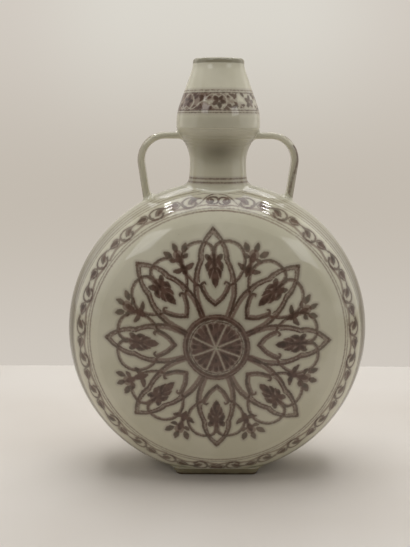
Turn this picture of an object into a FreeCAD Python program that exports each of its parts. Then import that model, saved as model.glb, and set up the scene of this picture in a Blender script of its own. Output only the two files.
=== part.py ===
"""Pilgrim flask (moon flask) of glazed porcelain, built as the separate clay pieces that are luted together.

Frame: millimetres, +Z up, origin on the table under the middle of the foot. The painted front faces -Y,
and the handles stand to either side along X.
"""
import FreeCAD, Part
import math
import os
import Sketcher
from FreeCAD import Vector

# Driving dimensions, millimetres. A value that ends in share has no unit.
SIZES = {
    # lens-shaped body: two domed halves that meet in a round rim
    "body_radius": 109.7,
    "rim_arc_radius": 44.0,
    "dome_rise": 12.0,
    "body_wall": 5.0,
    "base_height": 7.0,
    "base_flat_depth": 12.3,
    "slip_thickness": 0.8,
    # waisted neck
    "neck_waist_rise": 13.4,
    "neck_waist_depth": 9.35,
    "neck_crest_rise": 23.4,
    "neck_skirt_arc_radius": 90.0,
    "neck_crest_arc_radius": 24.0,
    "neck_wall": 4.0,
    "neck_blank_depth": 18.0,
    "neck_fillet_radius": 6.0,
    # bulb-shaped mouth
    "bulb_radius": 29.9,
    "bulb_overhang": 0.3,
    "bulb_belly_rise": 4.3,
    "bulb_shoulder_rise": 41.0,
    "bulb_wall": 4.0,
    "lip_wall": 4.6,
    "lip_land": 0.7,
    "mouth_bore_radius": 13.6,
    "mouth_bore_length": 9.7,
    # strap handles
    "strap_thickness": 5.0,
    "strap_width": 14.0,
    "strap_top_gap": 1.8,
    "strap_standoff": 25.5,
    "strap_bend_radius": 17.6,
    "strap_lean_share": 0.148,
    "strap_root_depth": 24.1,
    "strap_root_fillet_radius": 2.6,
    "strap_top_fillet_radius": 1.4,
    # rectangular foot ring
    "foot_end_set_in": 20.5,
    "foot_side_set_in": 6.2,
    "foot_corner_radius": 5.0,
    "foot_wall": 5.0,
    "foot_blank_rise": 5.0,
    "foot_flare": 11.5,
    # distance by which every cutting tool runs past what it cuts
    "overrun": 2.0,
}
# The neck's flare and the bulb's two arcs, as shares of the one arc that would span the same rise and run.
NECK_FLARE_SHARE = 0.776
BULB_BELLY_SHARE = 0.438
BULB_THROAT_SHARE = 0.206
# The foot's concave flare: at this share of its height it has run out by this share of the whole flare.
FOOT_MID_HEIGHT_SHARE = 0.36
FOOT_MID_FLARE_SHARE = 0.24

# Dimensions that follow from the driving ones, so that each piece stays seated on the one below it.
DERIVED = {
    "body_centre_height": "base_height + body_radius - base_flat_depth",
    "body_top_height": "body_centre_height + body_radius",
    "body_half_depth": "rim_arc_radius + dome_rise",
    "rim_centre_radius": "body_radius - rim_arc_radius",
    "body_span": "2 * (body_radius + overrun)",
    "neck_crest_radius": "bulb_radius - bulb_overhang",
    "neck_waist_radius": "neck_crest_radius - neck_waist_depth",
    "neck_waist_height": "body_top_height + neck_waist_rise",
    "neck_crest_height": "neck_waist_height + neck_crest_rise",
    "neck_root_height": "body_top_height - neck_blank_depth",
    "neck_one_arc_radius": "(neck_waist_depth ^ 2 + neck_crest_rise ^ 2) / (2 * neck_waist_depth)",
    "neck_flare_arc_radius": f"neck_one_arc_radius * {NECK_FLARE_SHARE}",
    "bulb_seat_height": "neck_crest_height + slip_thickness",
    "bulb_belly_height": "bulb_seat_height + bulb_belly_rise",
    "bulb_inner_radius": "bulb_radius - bulb_wall",
    "lip_radius": "mouth_bore_radius + lip_wall",
    "lip_run": "bulb_radius - lip_radius",
    "lip_start_height": "bulb_belly_height + bulb_shoulder_rise",
    "lip_centre_height": "lip_start_height + lip_land",
    "mouth_bore_start_height": "lip_centre_height - mouth_bore_length",
    "bulb_one_arc_radius": "(lip_run ^ 2 + bulb_shoulder_rise ^ 2) / (2 * lip_run)",
    "bulb_belly_arc_radius": f"bulb_one_arc_radius * {BULB_BELLY_SHARE}",
    "bulb_throat_arc_radius": f"bulb_one_arc_radius * {BULB_THROAT_SHARE}",
    "strap_centre_height": "neck_crest_height - strap_top_gap - strap_thickness / 2",
    "strap_reach": "neck_crest_radius + strap_standoff",
    "strap_bend_x": "strap_bend_radius - strap_reach",
    "strap_bend_height": "strap_centre_height - strap_bend_radius",
    "strap_root_height": "body_top_height - strap_root_depth",
    "base_half_length": "sqrt(body_radius ^ 2 - (body_radius - base_flat_depth) ^ 2)",
    "base_half_width": "sqrt(rim_arc_radius ^ 2 - (rim_arc_radius - base_flat_depth) ^ 2)",
    "foot_length": "2 * (base_half_length - foot_end_set_in)",
    "foot_width": "2 * (base_half_width - foot_side_set_in)",
    "foot_block_height": "base_height + foot_blank_rise",
}

DOC = FreeCAD.newDocument("pilgrim_flask")


def write_sheet():
    """Put the driving and the derived dimensions into a spreadsheet, one alias per row."""
    sheet = DOC.addObject("Spreadsheet::Sheet", "sizes")
    cells = {alias: str(value) for alias, value in SIZES.items()}
    cells.update({alias: f"={formula}" for alias, formula in DERIVED.items()})
    for row, (alias, content) in enumerate(cells.items(), start=1):
        sheet.set(f"A{row}", alias)
        sheet.setAlias(f"B{row}", alias)
        sheet.set(f"B{row}", content)
    DOC.recompute()
    return sheet


SHEET = write_sheet()


def size(alias):
    """Read one dimension back from the sheet."""
    return float(SHEET.get(alias))


def bind(obj, **expressions):
    """Tie properties of an object to the sheet; two underscores stand for a dot in a property's path."""
    for path, expression in expressions.items():
        obj.setExpression(path.replace("__", "."), expression)


def new_body(name):
    """Add an empty body."""
    return DOC.addObject("PartDesign::Body", name)


def new_sketch(body, name, role, lift=None):
    """Add a sketch on one of the body's own origin planes, lifted off it by an expression if one is given."""
    sketch = body.newObject("Sketcher::SketchObject", name)
    plane = next(datum for datum in body.Origin.OriginFeatures if datum.Role == role)
    sketch.AttachmentSupport = [(plane, "")]
    sketch.MapMode = "FlatFace"
    if lift:
        sketch.setExpression("AttachmentOffset.Base.z", lift)
    return sketch


def point_at(x, y):
    """A point of a sketch."""
    return Vector(x, y, 0)


def add_line(sketch, start, end):
    """Draw a line and return its index."""
    return sketch.addGeometry(Part.LineSegment(point_at(*start), point_at(*end)), False)


def add_arc(sketch, centre, radius, first, last):
    """Draw an arc, counter-clockwise from the angle first to the angle last, and return its index."""
    circle = Part.Circle(point_at(*centre), Vector(0, 0, 1), radius)
    return sketch.addGeometry(Part.ArcOfCircle(circle, first, last), False)


# Point numbers and axis numbers of a sketch.
START, END, CENTRE = range(1, 4)
X_AXIS, Y_AXIS = range(-1, -3, -1)
ORIGIN = (X_AXIS, START)


def relate(sketch, kind, *where):
    """Add a geometric constraint."""
    sketch.addConstraint(Sketcher.Constraint(kind, *where))


def dimension(sketch, kind, where, expression):
    """Add a dimension at its drawn value and bind it to the sheet.

    A radius takes a curve's index, a distance along X or Y the point that it measures from the origin.
    """
    if kind == "Radius":
        constraint = Sketcher.Constraint(kind, where, sketch.Geometry[where].Radius)
    else:
        drawn = sketch.getPoint(*where)
        value = drawn.x if kind == "DistanceX" else drawn.y
        constraint = Sketcher.Constraint(kind, *ORIGIN, *where, value)
    index = sketch.addConstraint(constraint)
    name = f"size_{index}"
    sketch.renameConstraint(index, name)
    sketch.setExpression(f"Constraints.{name}", expression)


def chain(sketch, links):
    """Join curves end to end; each link is (curve, point, curve, point, whether the joint is smooth)."""
    for first, first_point, second, second_point, smooth in links:
        relate(sketch, "Tangent" if smooth else "Coincident", first, first_point, second, second_point)


def revolve(body, sketch, name):
    """Turn a profile once round its own vertical axis."""
    turned = body.newObject("PartDesign::Revolution", name)
    turned.Profile = sketch
    turned.ReferenceAxis = (sketch, ["V_Axis"])
    turned.Angle = 360
    body.Tip = turned
    return body


def boolean(kind, name, base, tool):
    """Add a Part boolean of two objects."""
    result = DOC.addObject(f"Part::{kind}", name)
    result.Base = base
    result.Tool = tool
    return result


def box(name, low, spans):
    """Add a box whose low corner and spans along X, Y and Z are expressions."""
    result = DOC.addObject("Part::Box", name)
    bind(result, Length=spans[0], Width=spans[1], Height=spans[2])
    bind(result, Placement__Base__x=low[0], Placement__Base__y=low[1], Placement__Base__z=low[2])
    return result


def lens(name, inset_alias, drop_alias):
    """The body's lens form: two large dome arcs and a round rim arc, tangent to each other, turned about Y.

    The form is drawn in by the sheet's inset and lowered by its drop; either may be None. Its bottom is cut
    flat, as high above its own lowest point as the body's base is above the body's.
    """
    inset = size(inset_alias) if inset_alias else 0
    rim = size("rim_arc_radius") - inset
    radius = size("body_radius") - inset
    depth = size("body_half_depth") - inset
    dome = ((radius - rim) ** 2 + depth ** 2 - rim ** 2) / (2 * (depth - rim))
    meet = math.atan2(dome - depth, radius - rim)
    quarter = math.pi / 2
    less = f" - sizes.{inset_alias}" if inset_alias else ""
    body = new_body(f"{name}_lens")
    sketch = new_sketch(body, f"{name}_profile", "XY_Plane")
    back = add_arc(sketch, (0, depth - dome), dome, meet, quarter)
    edge = add_arc(sketch, (radius - rim, 0), rim, -meet, meet)
    front = add_arc(sketch, (0, dome - depth), dome, -quarter, -meet)
    spine = add_line(sketch, (0, -depth), (0, depth))
    chain(sketch, [(back, START, edge, END, True), (edge, START, front, END, True),
                   (back, END, spine, END, False), (front, START, spine, START, False)])
    for arc, point in ((back, END), (front, START), (back, CENTRE), (front, CENTRE)):
        relate(sketch, "PointOnObject", arc, point, Y_AXIS)
    relate(sketch, "PointOnObject", edge, CENTRE, X_AXIS)
    dimension(sketch, "Radius", edge, f"sizes.rim_arc_radius{less}")
    dimension(sketch, "DistanceX", (edge, CENTRE), "sizes.rim_centre_radius")
    dimension(sketch, "DistanceY", (back, END), f"sizes.body_half_depth{less}")
    dimension(sketch, "DistanceY", (front, START), f"-(sizes.body_half_depth{less})")
    revolve(body, sketch, f"{name}_revolution")
    lower = f" - sizes.{drop_alias}" if drop_alias else ""
    raise_base = f" + sizes.{inset_alias}" if inset_alias else ""
    bind(body, Placement__Base__z=f"sizes.body_centre_height{lower}")
    ground_z = f"sizes.base_height{raise_base}{lower} - sizes.body_span"
    ground = box(f"{name}_ground", ("-sizes.body_span / 2", "-sizes.body_span / 2", ground_z),
                 ("sizes.body_span", "sizes.body_span", "sizes.body_span"))
    return boolean("Cut", f"{name}_form", body, ground)


def neck_form(name, inset_alias):
    """The neck's turned form, solid to the axis and drawn in by the sheet's inset if one is named.

    From below: a long skirt arc up to the waist, a tight arc that flares out, and a crest arc that turns back
    up to the crest, where the bulb is joined on. The blank starts below the body's top and is trimmed to it.
    """
    inset = size(inset_alias) if inset_alias else 0
    less = f" - sizes.{inset_alias}" if inset_alias else ""
    more = f" + sizes.{inset_alias}" if inset_alias else ""
    waist = (size("neck_waist_radius") - inset, size("neck_waist_height"))
    skirt = size("neck_skirt_arc_radius") + inset
    flare = size("neck_flare_arc_radius") + inset
    crest_bend = size("neck_crest_arc_radius") - inset
    crest = (size("neck_crest_radius") - inset, size("neck_crest_height"))
    root_z = size("neck_root_height")
    skirt_turn = math.asin((waist[1] - root_z) / skirt)
    root_r = waist[0] + skirt * (1 - math.cos(skirt_turn))
    flare_centre = (waist[0] + flare, waist[1])
    # The crest arc's centre lies both radii from the flare's centre, and its own radius from the crest.
    away = (crest[0] - flare_centre[0], crest[1] - flare_centre[1])
    span = math.hypot(*away)
    reach = flare + crest_bend
    along = (span ** 2 + reach ** 2 - crest_bend ** 2) / (2 * span) / span
    aside = math.sqrt(reach ** 2 - (along * span) ** 2) / span
    centre_way = (along * away[0] - aside * away[1], along * away[1] + aside * away[0])
    crest_centre = (flare_centre[0] + centre_way[0], flare_centre[1] + centre_way[1])
    turn = math.atan2(centre_way[1], centre_way[0])
    crest_turn = math.atan2(crest[1] - crest_centre[1], crest[0] - crest_centre[0])
    body = new_body(name)
    sketch = new_sketch(body, f"{name}_profile", "XZ_Plane")
    skirt_arc = add_arc(sketch, (waist[0] + skirt, waist[1]), skirt, math.pi, math.pi + skirt_turn)
    flare_arc = add_arc(sketch, flare_centre, flare, turn, math.pi)
    crest_arc = add_arc(sketch, crest_centre, crest_bend, turn - math.pi, crest_turn)
    top = add_line(sketch, crest, (0, crest[1]))
    spine = add_line(sketch, (0, crest[1]), (0, root_z))
    root = add_line(sketch, (0, root_z), (root_r, root_z))
    chain(sketch, [(skirt_arc, START, flare_arc, END, True), (flare_arc, START, crest_arc, START, True),
                   (crest_arc, END, top, START, False), (top, END, spine, START, False),
                   (spine, END, root, START, False), (root, END, skirt_arc, END, False)])
    relate(sketch, "Horizontal", top)
    relate(sketch, "Horizontal", root)
    relate(sketch, "Horizontal", flare_arc, CENTRE, flare_arc, END)
    relate(sketch, "PointOnObject", spine, START, Y_AXIS)
    relate(sketch, "PointOnObject", spine, END, Y_AXIS)
    dimension(sketch, "Radius", skirt_arc, f"sizes.neck_skirt_arc_radius{more}")
    dimension(sketch, "Radius", flare_arc, f"sizes.neck_flare_arc_radius{more}")
    dimension(sketch, "Radius", crest_arc, f"sizes.neck_crest_arc_radius{less}")
    dimension(sketch, "DistanceX", (flare_arc, CENTRE),
              "sizes.neck_waist_radius + sizes.neck_flare_arc_radius")
    dimension(sketch, "DistanceY", (flare_arc, CENTRE), "sizes.neck_waist_height")
    dimension(sketch, "DistanceX", (crest_arc, END), f"sizes.neck_crest_radius{less}")
    dimension(sketch, "DistanceY", (crest_arc, END), "sizes.neck_crest_height")
    dimension(sketch, "DistanceY", (spine, END), "sizes.neck_root_height")
    return revolve(body, sketch, f"{name}_revolution")


def mouth_bulb():
    """The bulb-shaped mouth: an upright belly, a cone that draws in between two arcs, and a rounded lip.

    Inside, a straight bore runs down from the lip, and a cone opens from it to the belly.
    """
    seat_z = size("bulb_seat_height")
    belly = (size("bulb_radius"), size("bulb_belly_height"))
    inner = size("bulb_inner_radius")
    belly_bend = size("bulb_belly_arc_radius")
    throat_bend = size("bulb_throat_arc_radius")
    lip = (size("lip_radius"), size("lip_start_height"))
    bore = (size("mouth_bore_radius"), size("mouth_bore_start_height"))
    lip_round = size("lip_wall") / 2
    lip_z = size("lip_centre_height")
    belly_centre = (belly[0] - belly_bend, belly[1])
    throat_centre = (lip[0] + throat_bend, lip[1])
    across = (throat_centre[0] - belly_centre[0], throat_centre[1] - belly_centre[1])
    cone = math.atan2(across[1], across[0]) - math.acos((belly_bend + throat_bend) / math.hypot(*across))
    lean = (math.cos(cone), math.sin(cone))
    cone_low = (belly_centre[0] + belly_bend * lean[0], belly_centre[1] + belly_bend * lean[1])
    cone_high = (throat_centre[0] - throat_bend * lean[0], throat_centre[1] - throat_bend * lean[1])
    body = new_body("mouth_bulb")
    sketch = new_sketch(body, "mouth_bulb_profile", "XZ_Plane")
    seat = add_line(sketch, (inner, seat_z), (belly[0], seat_z))
    belly_line = add_line(sketch, (belly[0], seat_z), belly)
    belly_arc = add_arc(sketch, belly_centre, belly_bend, 0, cone)
    cone_line = add_line(sketch, cone_low, cone_high)
    throat_arc = add_arc(sketch, throat_centre, throat_bend, math.pi, math.pi + cone)
    lip_line = add_line(sketch, lip, (lip[0], lip_z))
    lip_arc = add_arc(sketch, (bore[0] + lip_round, lip_z), lip_round, 0, math.pi)
    bore_line = add_line(sketch, (bore[0], lip_z), bore)
    inner_cone = add_line(sketch, bore, (inner, belly[1]))
    inner_line = add_line(sketch, (inner, belly[1]), (inner, seat_z))
    chain(sketch, [(seat, END, belly_line, START, False), (belly_line, END, belly_arc, START, True),
                   (belly_arc, END, cone_line, START, True), (cone_line, END, throat_arc, END, True),
                   (throat_arc, START, lip_line, START, True), (lip_line, END, lip_arc, START, True),
                   (lip_arc, END, bore_line, START, True), (bore_line, END, inner_cone, START, False),
                   (inner_cone, END, inner_line, START, False), (inner_line, END, seat, START, False)])
    relate(sketch, "Horizontal", seat)
    for upright in (belly_line, lip_line, bore_line, inner_line):
        relate(sketch, "Vertical", upright)
    dimension(sketch, "Radius", belly_arc, "sizes.bulb_belly_arc_radius")
    dimension(sketch, "Radius", throat_arc, "sizes.bulb_throat_arc_radius")
    dimension(sketch, "DistanceX", (seat, END), "sizes.bulb_radius")
    dimension(sketch, "DistanceY", (seat, END), "sizes.bulb_seat_height")
    dimension(sketch, "DistanceY", (belly_arc, CENTRE), "sizes.bulb_belly_height")
    dimension(sketch, "DistanceX", (lip_line, START), "sizes.lip_radius")
    dimension(sketch, "DistanceY", (throat_arc, CENTRE), "sizes.lip_start_height")
    dimension(sketch, "DistanceX", (bore_line, END), "sizes.mouth_bore_radius")
    dimension(sketch, "DistanceY", (bore_line, END), "sizes.mouth_bore_start_height")
    dimension(sketch, "DistanceX", (seat, START), "sizes.bulb_inner_radius")
    dimension(sketch, "DistanceY", (inner_line, START), "sizes.bulb_belly_height")
    dimension(sketch, "DistanceY", (lip_arc, CENTRE), "sizes.lip_centre_height")
    return revolve(body, sketch, "mouth_bulb_revolution")


def bulb_luting():
    """The slip ring between the neck's crest and the bulb, a little inside the bulb's edge, as a crease."""
    rings = []
    for name, radius in (("bulb_luting_outside", "sizes.neck_crest_radius"),
                         ("bulb_luting_inside", "sizes.neck_crest_radius - sizes.neck_wall")):
        ring = DOC.addObject("Part::Cylinder", name)
        bind(ring, Radius=radius, Height="sizes.slip_thickness", Placement__Base__z="sizes.neck_crest_height")
        rings.append(ring)
    return boolean("Cut", "bulb_luting", *rings)


def strap():
    """The left handle's strap before it is trimmed: a flat band with round edges, swept along its bend.

    It leaves the neck level, turns down in one arc and leans in to the shoulder along a straight run.
    """
    top_z = size("strap_centre_height")
    bend = size("strap_bend_radius")
    lean = math.atan(size("strap_lean_share"))
    start_x = -size("neck_waist_radius")
    centre = (size("strap_bend_x"), size("strap_bend_height"))
    bend_end = (centre[0] - bend * math.cos(lean), centre[1] - bend * math.sin(lean))
    drop = bend_end[1] - size("strap_root_height")
    root = (bend_end[0] + drop * math.tan(lean), size("strap_root_height"))
    body = new_body("strap")
    path = new_sketch(body, "strap_path", "XZ_Plane")
    level = add_line(path, (start_x, top_z), (centre[0], top_z))
    turn = add_arc(path, centre, bend, math.pi / 2, math.pi + lean)
    fall = add_line(path, bend_end, root)
    chain(path, [(level, END, turn, START, True), (turn, END, fall, START, True)])
    relate(path, "Horizontal", level)
    dimension(path, "DistanceX", (level, START), "-sizes.neck_waist_radius")
    dimension(path, "DistanceY", (level, START), "sizes.strap_centre_height")
    dimension(path, "Radius", turn, "sizes.strap_bend_radius")
    dimension(path, "DistanceX", (turn, CENTRE), "sizes.strap_bend_x")
    dimension(path, "DistanceY", (fall, END), "sizes.strap_root_height")
    dimension(path, "DistanceX", (fall, END),
              "sizes.strap_bend_x - sizes.strap_bend_radius * sqrt(1 + sizes.strap_lean_share ^ 2)"
              " + (sizes.strap_bend_height - sizes.strap_root_height) * sizes.strap_lean_share")
    edge = size("strap_thickness") / 2
    reach = size("strap_width") / 2 - edge
    section = new_sketch(body, "strap_section", "YZ_Plane", "-sizes.neck_waist_radius")
    quarter = math.pi / 2
    right = add_arc(section, (reach, top_z), edge, -quarter, quarter)
    upper = add_line(section, (reach, top_z + edge), (-reach, top_z + edge))
    left = add_arc(section, (-reach, top_z), edge, quarter, 3 * quarter)
    lower = add_line(section, (-reach, top_z - edge), (reach, top_z - edge))
    chain(section, [(right, END, upper, START, True), (upper, END, left, START, True),
                    (left, END, lower, START, True), (lower, END, right, START, True)])
    relate(section, "Equal", right, left)
    dimension(section, "Radius", right, "sizes.strap_thickness / 2")
    for arc, sign in ((right, ""), (left, "-")):
        dimension(section, "DistanceX", (arc, CENTRE),
                  f"{sign}(sizes.strap_width - sizes.strap_thickness) / 2")
        dimension(section, "DistanceY", (arc, CENTRE), "sizes.strap_centre_height")
    pipe = body.newObject("PartDesign::AdditivePipe", "strap_sweep")
    pipe.Profile = section
    pipe.Spine = (path, ["Edge1", "Edge2", "Edge3"])
    body.Tip = pipe
    return body


def rounded_rectangle(sketch, halves, corner, half_expressions, corner_expression):
    """Draw a rectangle with round corners about the origin and bind its half sides and its corner radius."""
    half_x, half_y = halves
    quarter = math.pi / 2
    in_x, in_y = half_x - corner, half_y - corner
    ends = [((half_x, -in_y), (half_x, in_y)), ((in_x, half_y), (-in_x, half_y)),
            ((-half_x, in_y), (-half_x, -in_y)), ((-in_x, -half_y), (in_x, -half_y))]
    sides = [add_line(sketch, start, end) for start, end in ends]
    centres = [(in_x, in_y), (-in_x, in_y), (-in_x, -in_y), (in_x, -in_y)]
    corners = [add_arc(sketch, centre, corner, turn * quarter, (turn + 1) * quarter)
               for turn, centre in enumerate(centres)]
    for turn, arc in enumerate(corners):
        chain(sketch, [(sides[turn], END, arc, START, True), (arc, END, sides[(turn + 1) % 4], START, True)])
        relate(sketch, "Horizontal" if turn % 2 else "Vertical", sides[turn])
    for arc in corners[1:]:
        relate(sketch, "Equal", corners[0], arc)
    dimension(sketch, "Radius", corners[0], corner_expression)
    for turn, side in enumerate(sides):
        kind, half = ("DistanceY", half_expressions[1]) if turn % 2 else ("DistanceX", half_expressions[0])
        dimension(sketch, kind, (side, START), half if turn < 2 else f"-({half})")


def foot_block():
    """The rectangular foot before it is trimmed to the body: flared sides, and a straight hole through it."""
    body = new_body("foot_block")
    sections = []
    middle = (FOOT_MID_HEIGHT_SHARE, FOOT_MID_FLARE_SHARE)
    for label, (up, out) in (("low", (0, 0)), ("middle", middle), ("high", (1, 1))):
        run = size("foot_flare") * out
        added = f" + sizes.foot_flare * {out}"
        sketch = new_sketch(body, f"foot_{label}", "XY_Plane", f"sizes.foot_block_height * {up}")
        rounded_rectangle(sketch, (size("foot_length") / 2 + run, size("foot_width") / 2 + run),
                          size("foot_corner_radius") + run,
                          [f"sizes.foot_length / 2{added}", f"sizes.foot_width / 2{added}"],
                          f"sizes.foot_corner_radius{added}")
        sections.append(sketch)
    loft = body.newObject("PartDesign::AdditiveLoft", "foot_loft")
    loft.Profile = sections[0]
    loft.Sections = sections[1:]
    body.Tip = loft
    hole = new_sketch(body, "foot_hole", "XY_Plane")
    wall = size("foot_wall")
    rounded_rectangle(hole, (size("foot_length") / 2 - wall, size("foot_width") / 2 - wall),
                      size("foot_corner_radius"),
                      ["sizes.foot_length / 2 - sizes.foot_wall", "sizes.foot_width / 2 - sizes.foot_wall"],
                      "sizes.foot_corner_radius")
    pocket = body.newObject("PartDesign::Pocket", "foot_pocket")
    pocket.Profile = hole
    pocket.Type = "ThroughAll"
    pocket.Reversed = True
    body.Tip = pocket
    return body


def shaped(name, shape):
    """Add an object whose shape is worked out here."""
    result = DOC.addObject("Part::Feature", name)
    result.Shape = shape
    return result


# A point this near to a surface lies on it, as a share of the body's radius.
ON_SURFACE_SHARE = 1e-6


def fillet_ring(base, added, radius):
    """The fillet of slip round the joint of two solids: their union with that edge rounded, less both."""
    near = ON_SURFACE_SHARE * size("body_radius")
    joined = base.fuse(added)
    joint = []
    for edge in joined.Edges:
        middle = Part.Vertex(edge.valueAt((edge.FirstParameter + edge.LastParameter) / 2))
        if all(middle.distToShape(solid.Shells[0])[0] < near for solid in (base, added)):
            joint.append(edge)
    return joined.makeFillet(radius, joint).cut(base).cut(added)


def mirrored(name, source):
    """The right-hand copy of a left-hand piece, mirrored in the plane X = 0."""
    result = DOC.addObject("Part::Mirroring", name)
    result.Source = source
    result.Normal = Vector(1, 0, 0)
    return result


def check(objects):
    """Stop if any object failed, or if one that is written out has no sound solid."""
    failed = [obj.Name for obj in DOC.Objects if "Invalid" in obj.State or "Error" in obj.State]
    if failed:
        raise RuntimeError(f"failed objects: {failed}")
    for obj in objects:
        shape = obj.Shape
        if shape.isNull() or not shape.isValid() or not shape.Solids:
            raise RuntimeError(f"no sound solid: {obj.Label}")


def build():
    """Model every piece of the flask and return the objects that are written out, by node name."""
    outside = lens("outside", None, None)
    hollow = lens("hollow", "body_wall", None)
    foot_seat = lens("foot_seat", None, "slip_thickness")
    shell = boolean("Cut", "shell_form", outside, hollow)
    neck_core = neck_form("neck_core", None)
    neck_hollow = neck_form("neck_hollow", "neck_wall")
    neck_tube = boolean("Cut", "neck_tube", neck_core, neck_hollow)
    bored_shell = boolean("Cut", "bored_shell", shell, neck_hollow)
    half_slip = "sizes.slip_thickness / 2"
    left = "-sizes.body_span / 2"
    low = "-sizes.overrun"
    spans = ("sizes.body_span", "sizes.body_span", "sizes.body_span")
    front_side = box("front_side", (left, f"-sizes.body_span - {half_slip}", low), spans)
    back_side = box("back_side", (left, half_slip, low), spans)
    seam_slab = box("seam_slab", (left, f"-{half_slip}", low),
                    ("sizes.body_span", "sizes.slip_thickness", "sizes.body_span"))
    pieces = {
        "front_shell": boolean("Common", "front_shell", bored_shell, front_side),
        "back_shell": boolean("Common", "back_shell", bored_shell, back_side),
        "body_luting": boolean("Common", "body_luting", bored_shell, seam_slab),
        "neck_stem": boolean("Cut", "neck_stem", neck_tube, outside),
        "bulb_luting": bulb_luting(),
        "mouth_bulb": mouth_bulb(),
    }
    band = strap()
    band_on_body = boolean("Cut", "band_on_body", band, outside)
    pieces["left_handle"] = boolean("Cut", "left_handle", band_on_body, neck_core)
    block = foot_block()
    pieces["foot_ring"] = boolean("Cut", "foot_ring", block, foot_seat)
    foot_slip = boolean("Common", "foot_slip", block, foot_seat)
    pieces["foot_luting"] = boolean("Cut", "foot_luting", foot_slip, outside)
    DOC.recompute()
    collar = fillet_ring(outside.Shape, neck_core.Shape, size("neck_fillet_radius"))
    pieces["neck_luting"] = shaped("neck_luting", collar)
    root = fillet_ring(outside.Shape, band.Shape, size("strap_root_fillet_radius"))
    crown = fillet_ring(neck_core.Shape, band.Shape, size("strap_top_fillet_radius"))
    pieces["left_handle_luting"] = shaped("left_handle_luting", Part.Compound(root.Solids + crown.Solids))
    for piece in ("handle", "handle_luting"):
        pieces[f"right_{piece}"] = mirrored(f"right_{piece}", pieces[f"left_{piece}"])
    DOC.recompute()
    return pieces


PIECES = build()
check(PIECES.values())
os.makedirs("parts", exist_ok=True)
for node, piece in PIECES.items():
    piece.Label = node
    piece.Shape.exportStep(f"parts/{node}.step")
    print(node, len(piece.Shape.Solids), "solids", round(piece.Shape.Volume), "mm3")
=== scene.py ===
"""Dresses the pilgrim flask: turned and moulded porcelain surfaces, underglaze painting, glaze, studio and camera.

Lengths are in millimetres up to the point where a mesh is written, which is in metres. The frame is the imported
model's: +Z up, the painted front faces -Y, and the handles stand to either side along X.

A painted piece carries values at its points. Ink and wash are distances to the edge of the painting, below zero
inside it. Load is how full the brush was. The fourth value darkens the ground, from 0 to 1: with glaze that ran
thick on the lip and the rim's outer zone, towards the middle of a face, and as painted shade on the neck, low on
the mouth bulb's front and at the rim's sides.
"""
import logging
import math
from dataclasses import dataclass, field
from enum import Enum
from typing import Any, Callable, Optional, Sequence

import bpy
import numpy as np
from mathutils import Matrix


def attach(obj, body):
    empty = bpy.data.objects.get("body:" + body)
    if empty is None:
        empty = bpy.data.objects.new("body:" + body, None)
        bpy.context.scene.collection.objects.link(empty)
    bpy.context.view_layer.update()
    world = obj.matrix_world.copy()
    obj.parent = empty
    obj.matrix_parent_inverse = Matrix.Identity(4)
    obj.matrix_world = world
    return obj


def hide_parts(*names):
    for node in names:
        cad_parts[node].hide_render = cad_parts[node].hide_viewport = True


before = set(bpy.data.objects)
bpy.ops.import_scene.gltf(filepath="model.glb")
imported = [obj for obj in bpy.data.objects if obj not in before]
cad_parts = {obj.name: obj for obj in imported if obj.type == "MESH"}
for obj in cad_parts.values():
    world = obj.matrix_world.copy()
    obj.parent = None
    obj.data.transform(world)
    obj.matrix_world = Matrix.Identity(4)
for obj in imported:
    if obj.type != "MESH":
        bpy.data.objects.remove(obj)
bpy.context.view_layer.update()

LOG = logging.getLogger("pilgrim_flask")
MM = 0.001
CLEAR = 3.0  # so far from the painting that nothing of it shows
FINEST = 0.05  # half the width of the finest hair line
Array = np.ndarray
Points = Sequence[Sequence[float]]
Lines = tuple[tuple[float, float], ...]
Paint = dict[str, Array]
Material = bpy.types.Material
Socket = bpy.types.NodeSocket
Tree = bpy.types.NodeTree


class Side(Enum):
    """The two sides that a handle stands on, as the sign of X."""
    LEFT = -1
    RIGHT = 1


class Face(Enum):
    """The two domed faces of the body, as the sign of Y."""
    FRONT = -1
    BACK = 1


# ---------------------------------------------------------------------------------------------- surfaces

def wrapped_faces(rings: int, around: int, capped: bool) -> tuple[Array, Array]:
    """Index the faces of a surface whose rings are closed loops.

    Quad (i, j) joins points j and j + 1 of rings i and i + 1. Without caps the last ring joins the first, as on
    a torus. With caps the first and last ring close in a fan on one pole each, the last two points.

    Args:
        rings: number of rings.
        around: points in a ring.
        capped: whether the two ends close on poles.

    Returns:
        The quads and the triangles, as arrays of point numbers.
    """
    grid = np.arange(rings * around).reshape(rings, around)
    low = grid[:-1] if capped else grid
    high = grid[1:] if capped else np.roll(grid, -1, axis=0)
    quads = np.stack([low, np.roll(low, -1, axis=1), np.roll(high, -1, axis=1), high], axis=-1).reshape(-1, 4)
    if not capped:
        return quads, np.zeros((0, 3), int)
    first = np.stack([np.full(around, grid.size), np.roll(grid[0], -1), grid[0]], axis=-1)
    last = np.stack([np.full(around, grid.size + 1), grid[-1], np.roll(grid[-1], -1)], axis=-1)
    return quads, np.concatenate([first, last])


def enclosed_volume(points: Array, quads: Array, triangles: Array) -> float:
    """Sum the signed volumes of the cones from the origin to each face; below zero, the faces point inwards.

    Args:
        points: the points, one row each.
        quads: point numbers of the four-sided faces.
        triangles: point numbers of the three-sided faces.

    Returns:
        The volume in cubic units of the points.
    """
    flat = np.concatenate([quads[:, [0, 1, 2]], quads[:, [0, 2, 3]], triangles])
    a, b, c = (points[flat[:, corner]] for corner in range(3))
    return float(np.einsum("ij,ij->", a, np.cross(b, c)) / 6)


def bare(name: str) -> float:
    """Value of a painted attribute where nothing is painted."""
    return 0.0 if name == "pool_and_shade" else CLEAR


def set_up(name: str, data: bpy.types.ID) -> bpy.types.Object:
    """Make an object of a mesh, a light or a camera and put it into the scene.

    Args:
        name: the object's name.
        data: the mesh, light or camera.

    Returns:
        The object.
    """
    thing = bpy.data.objects.new(name, data)
    bpy.context.scene.collection.objects.link(thing)
    return thing


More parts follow.
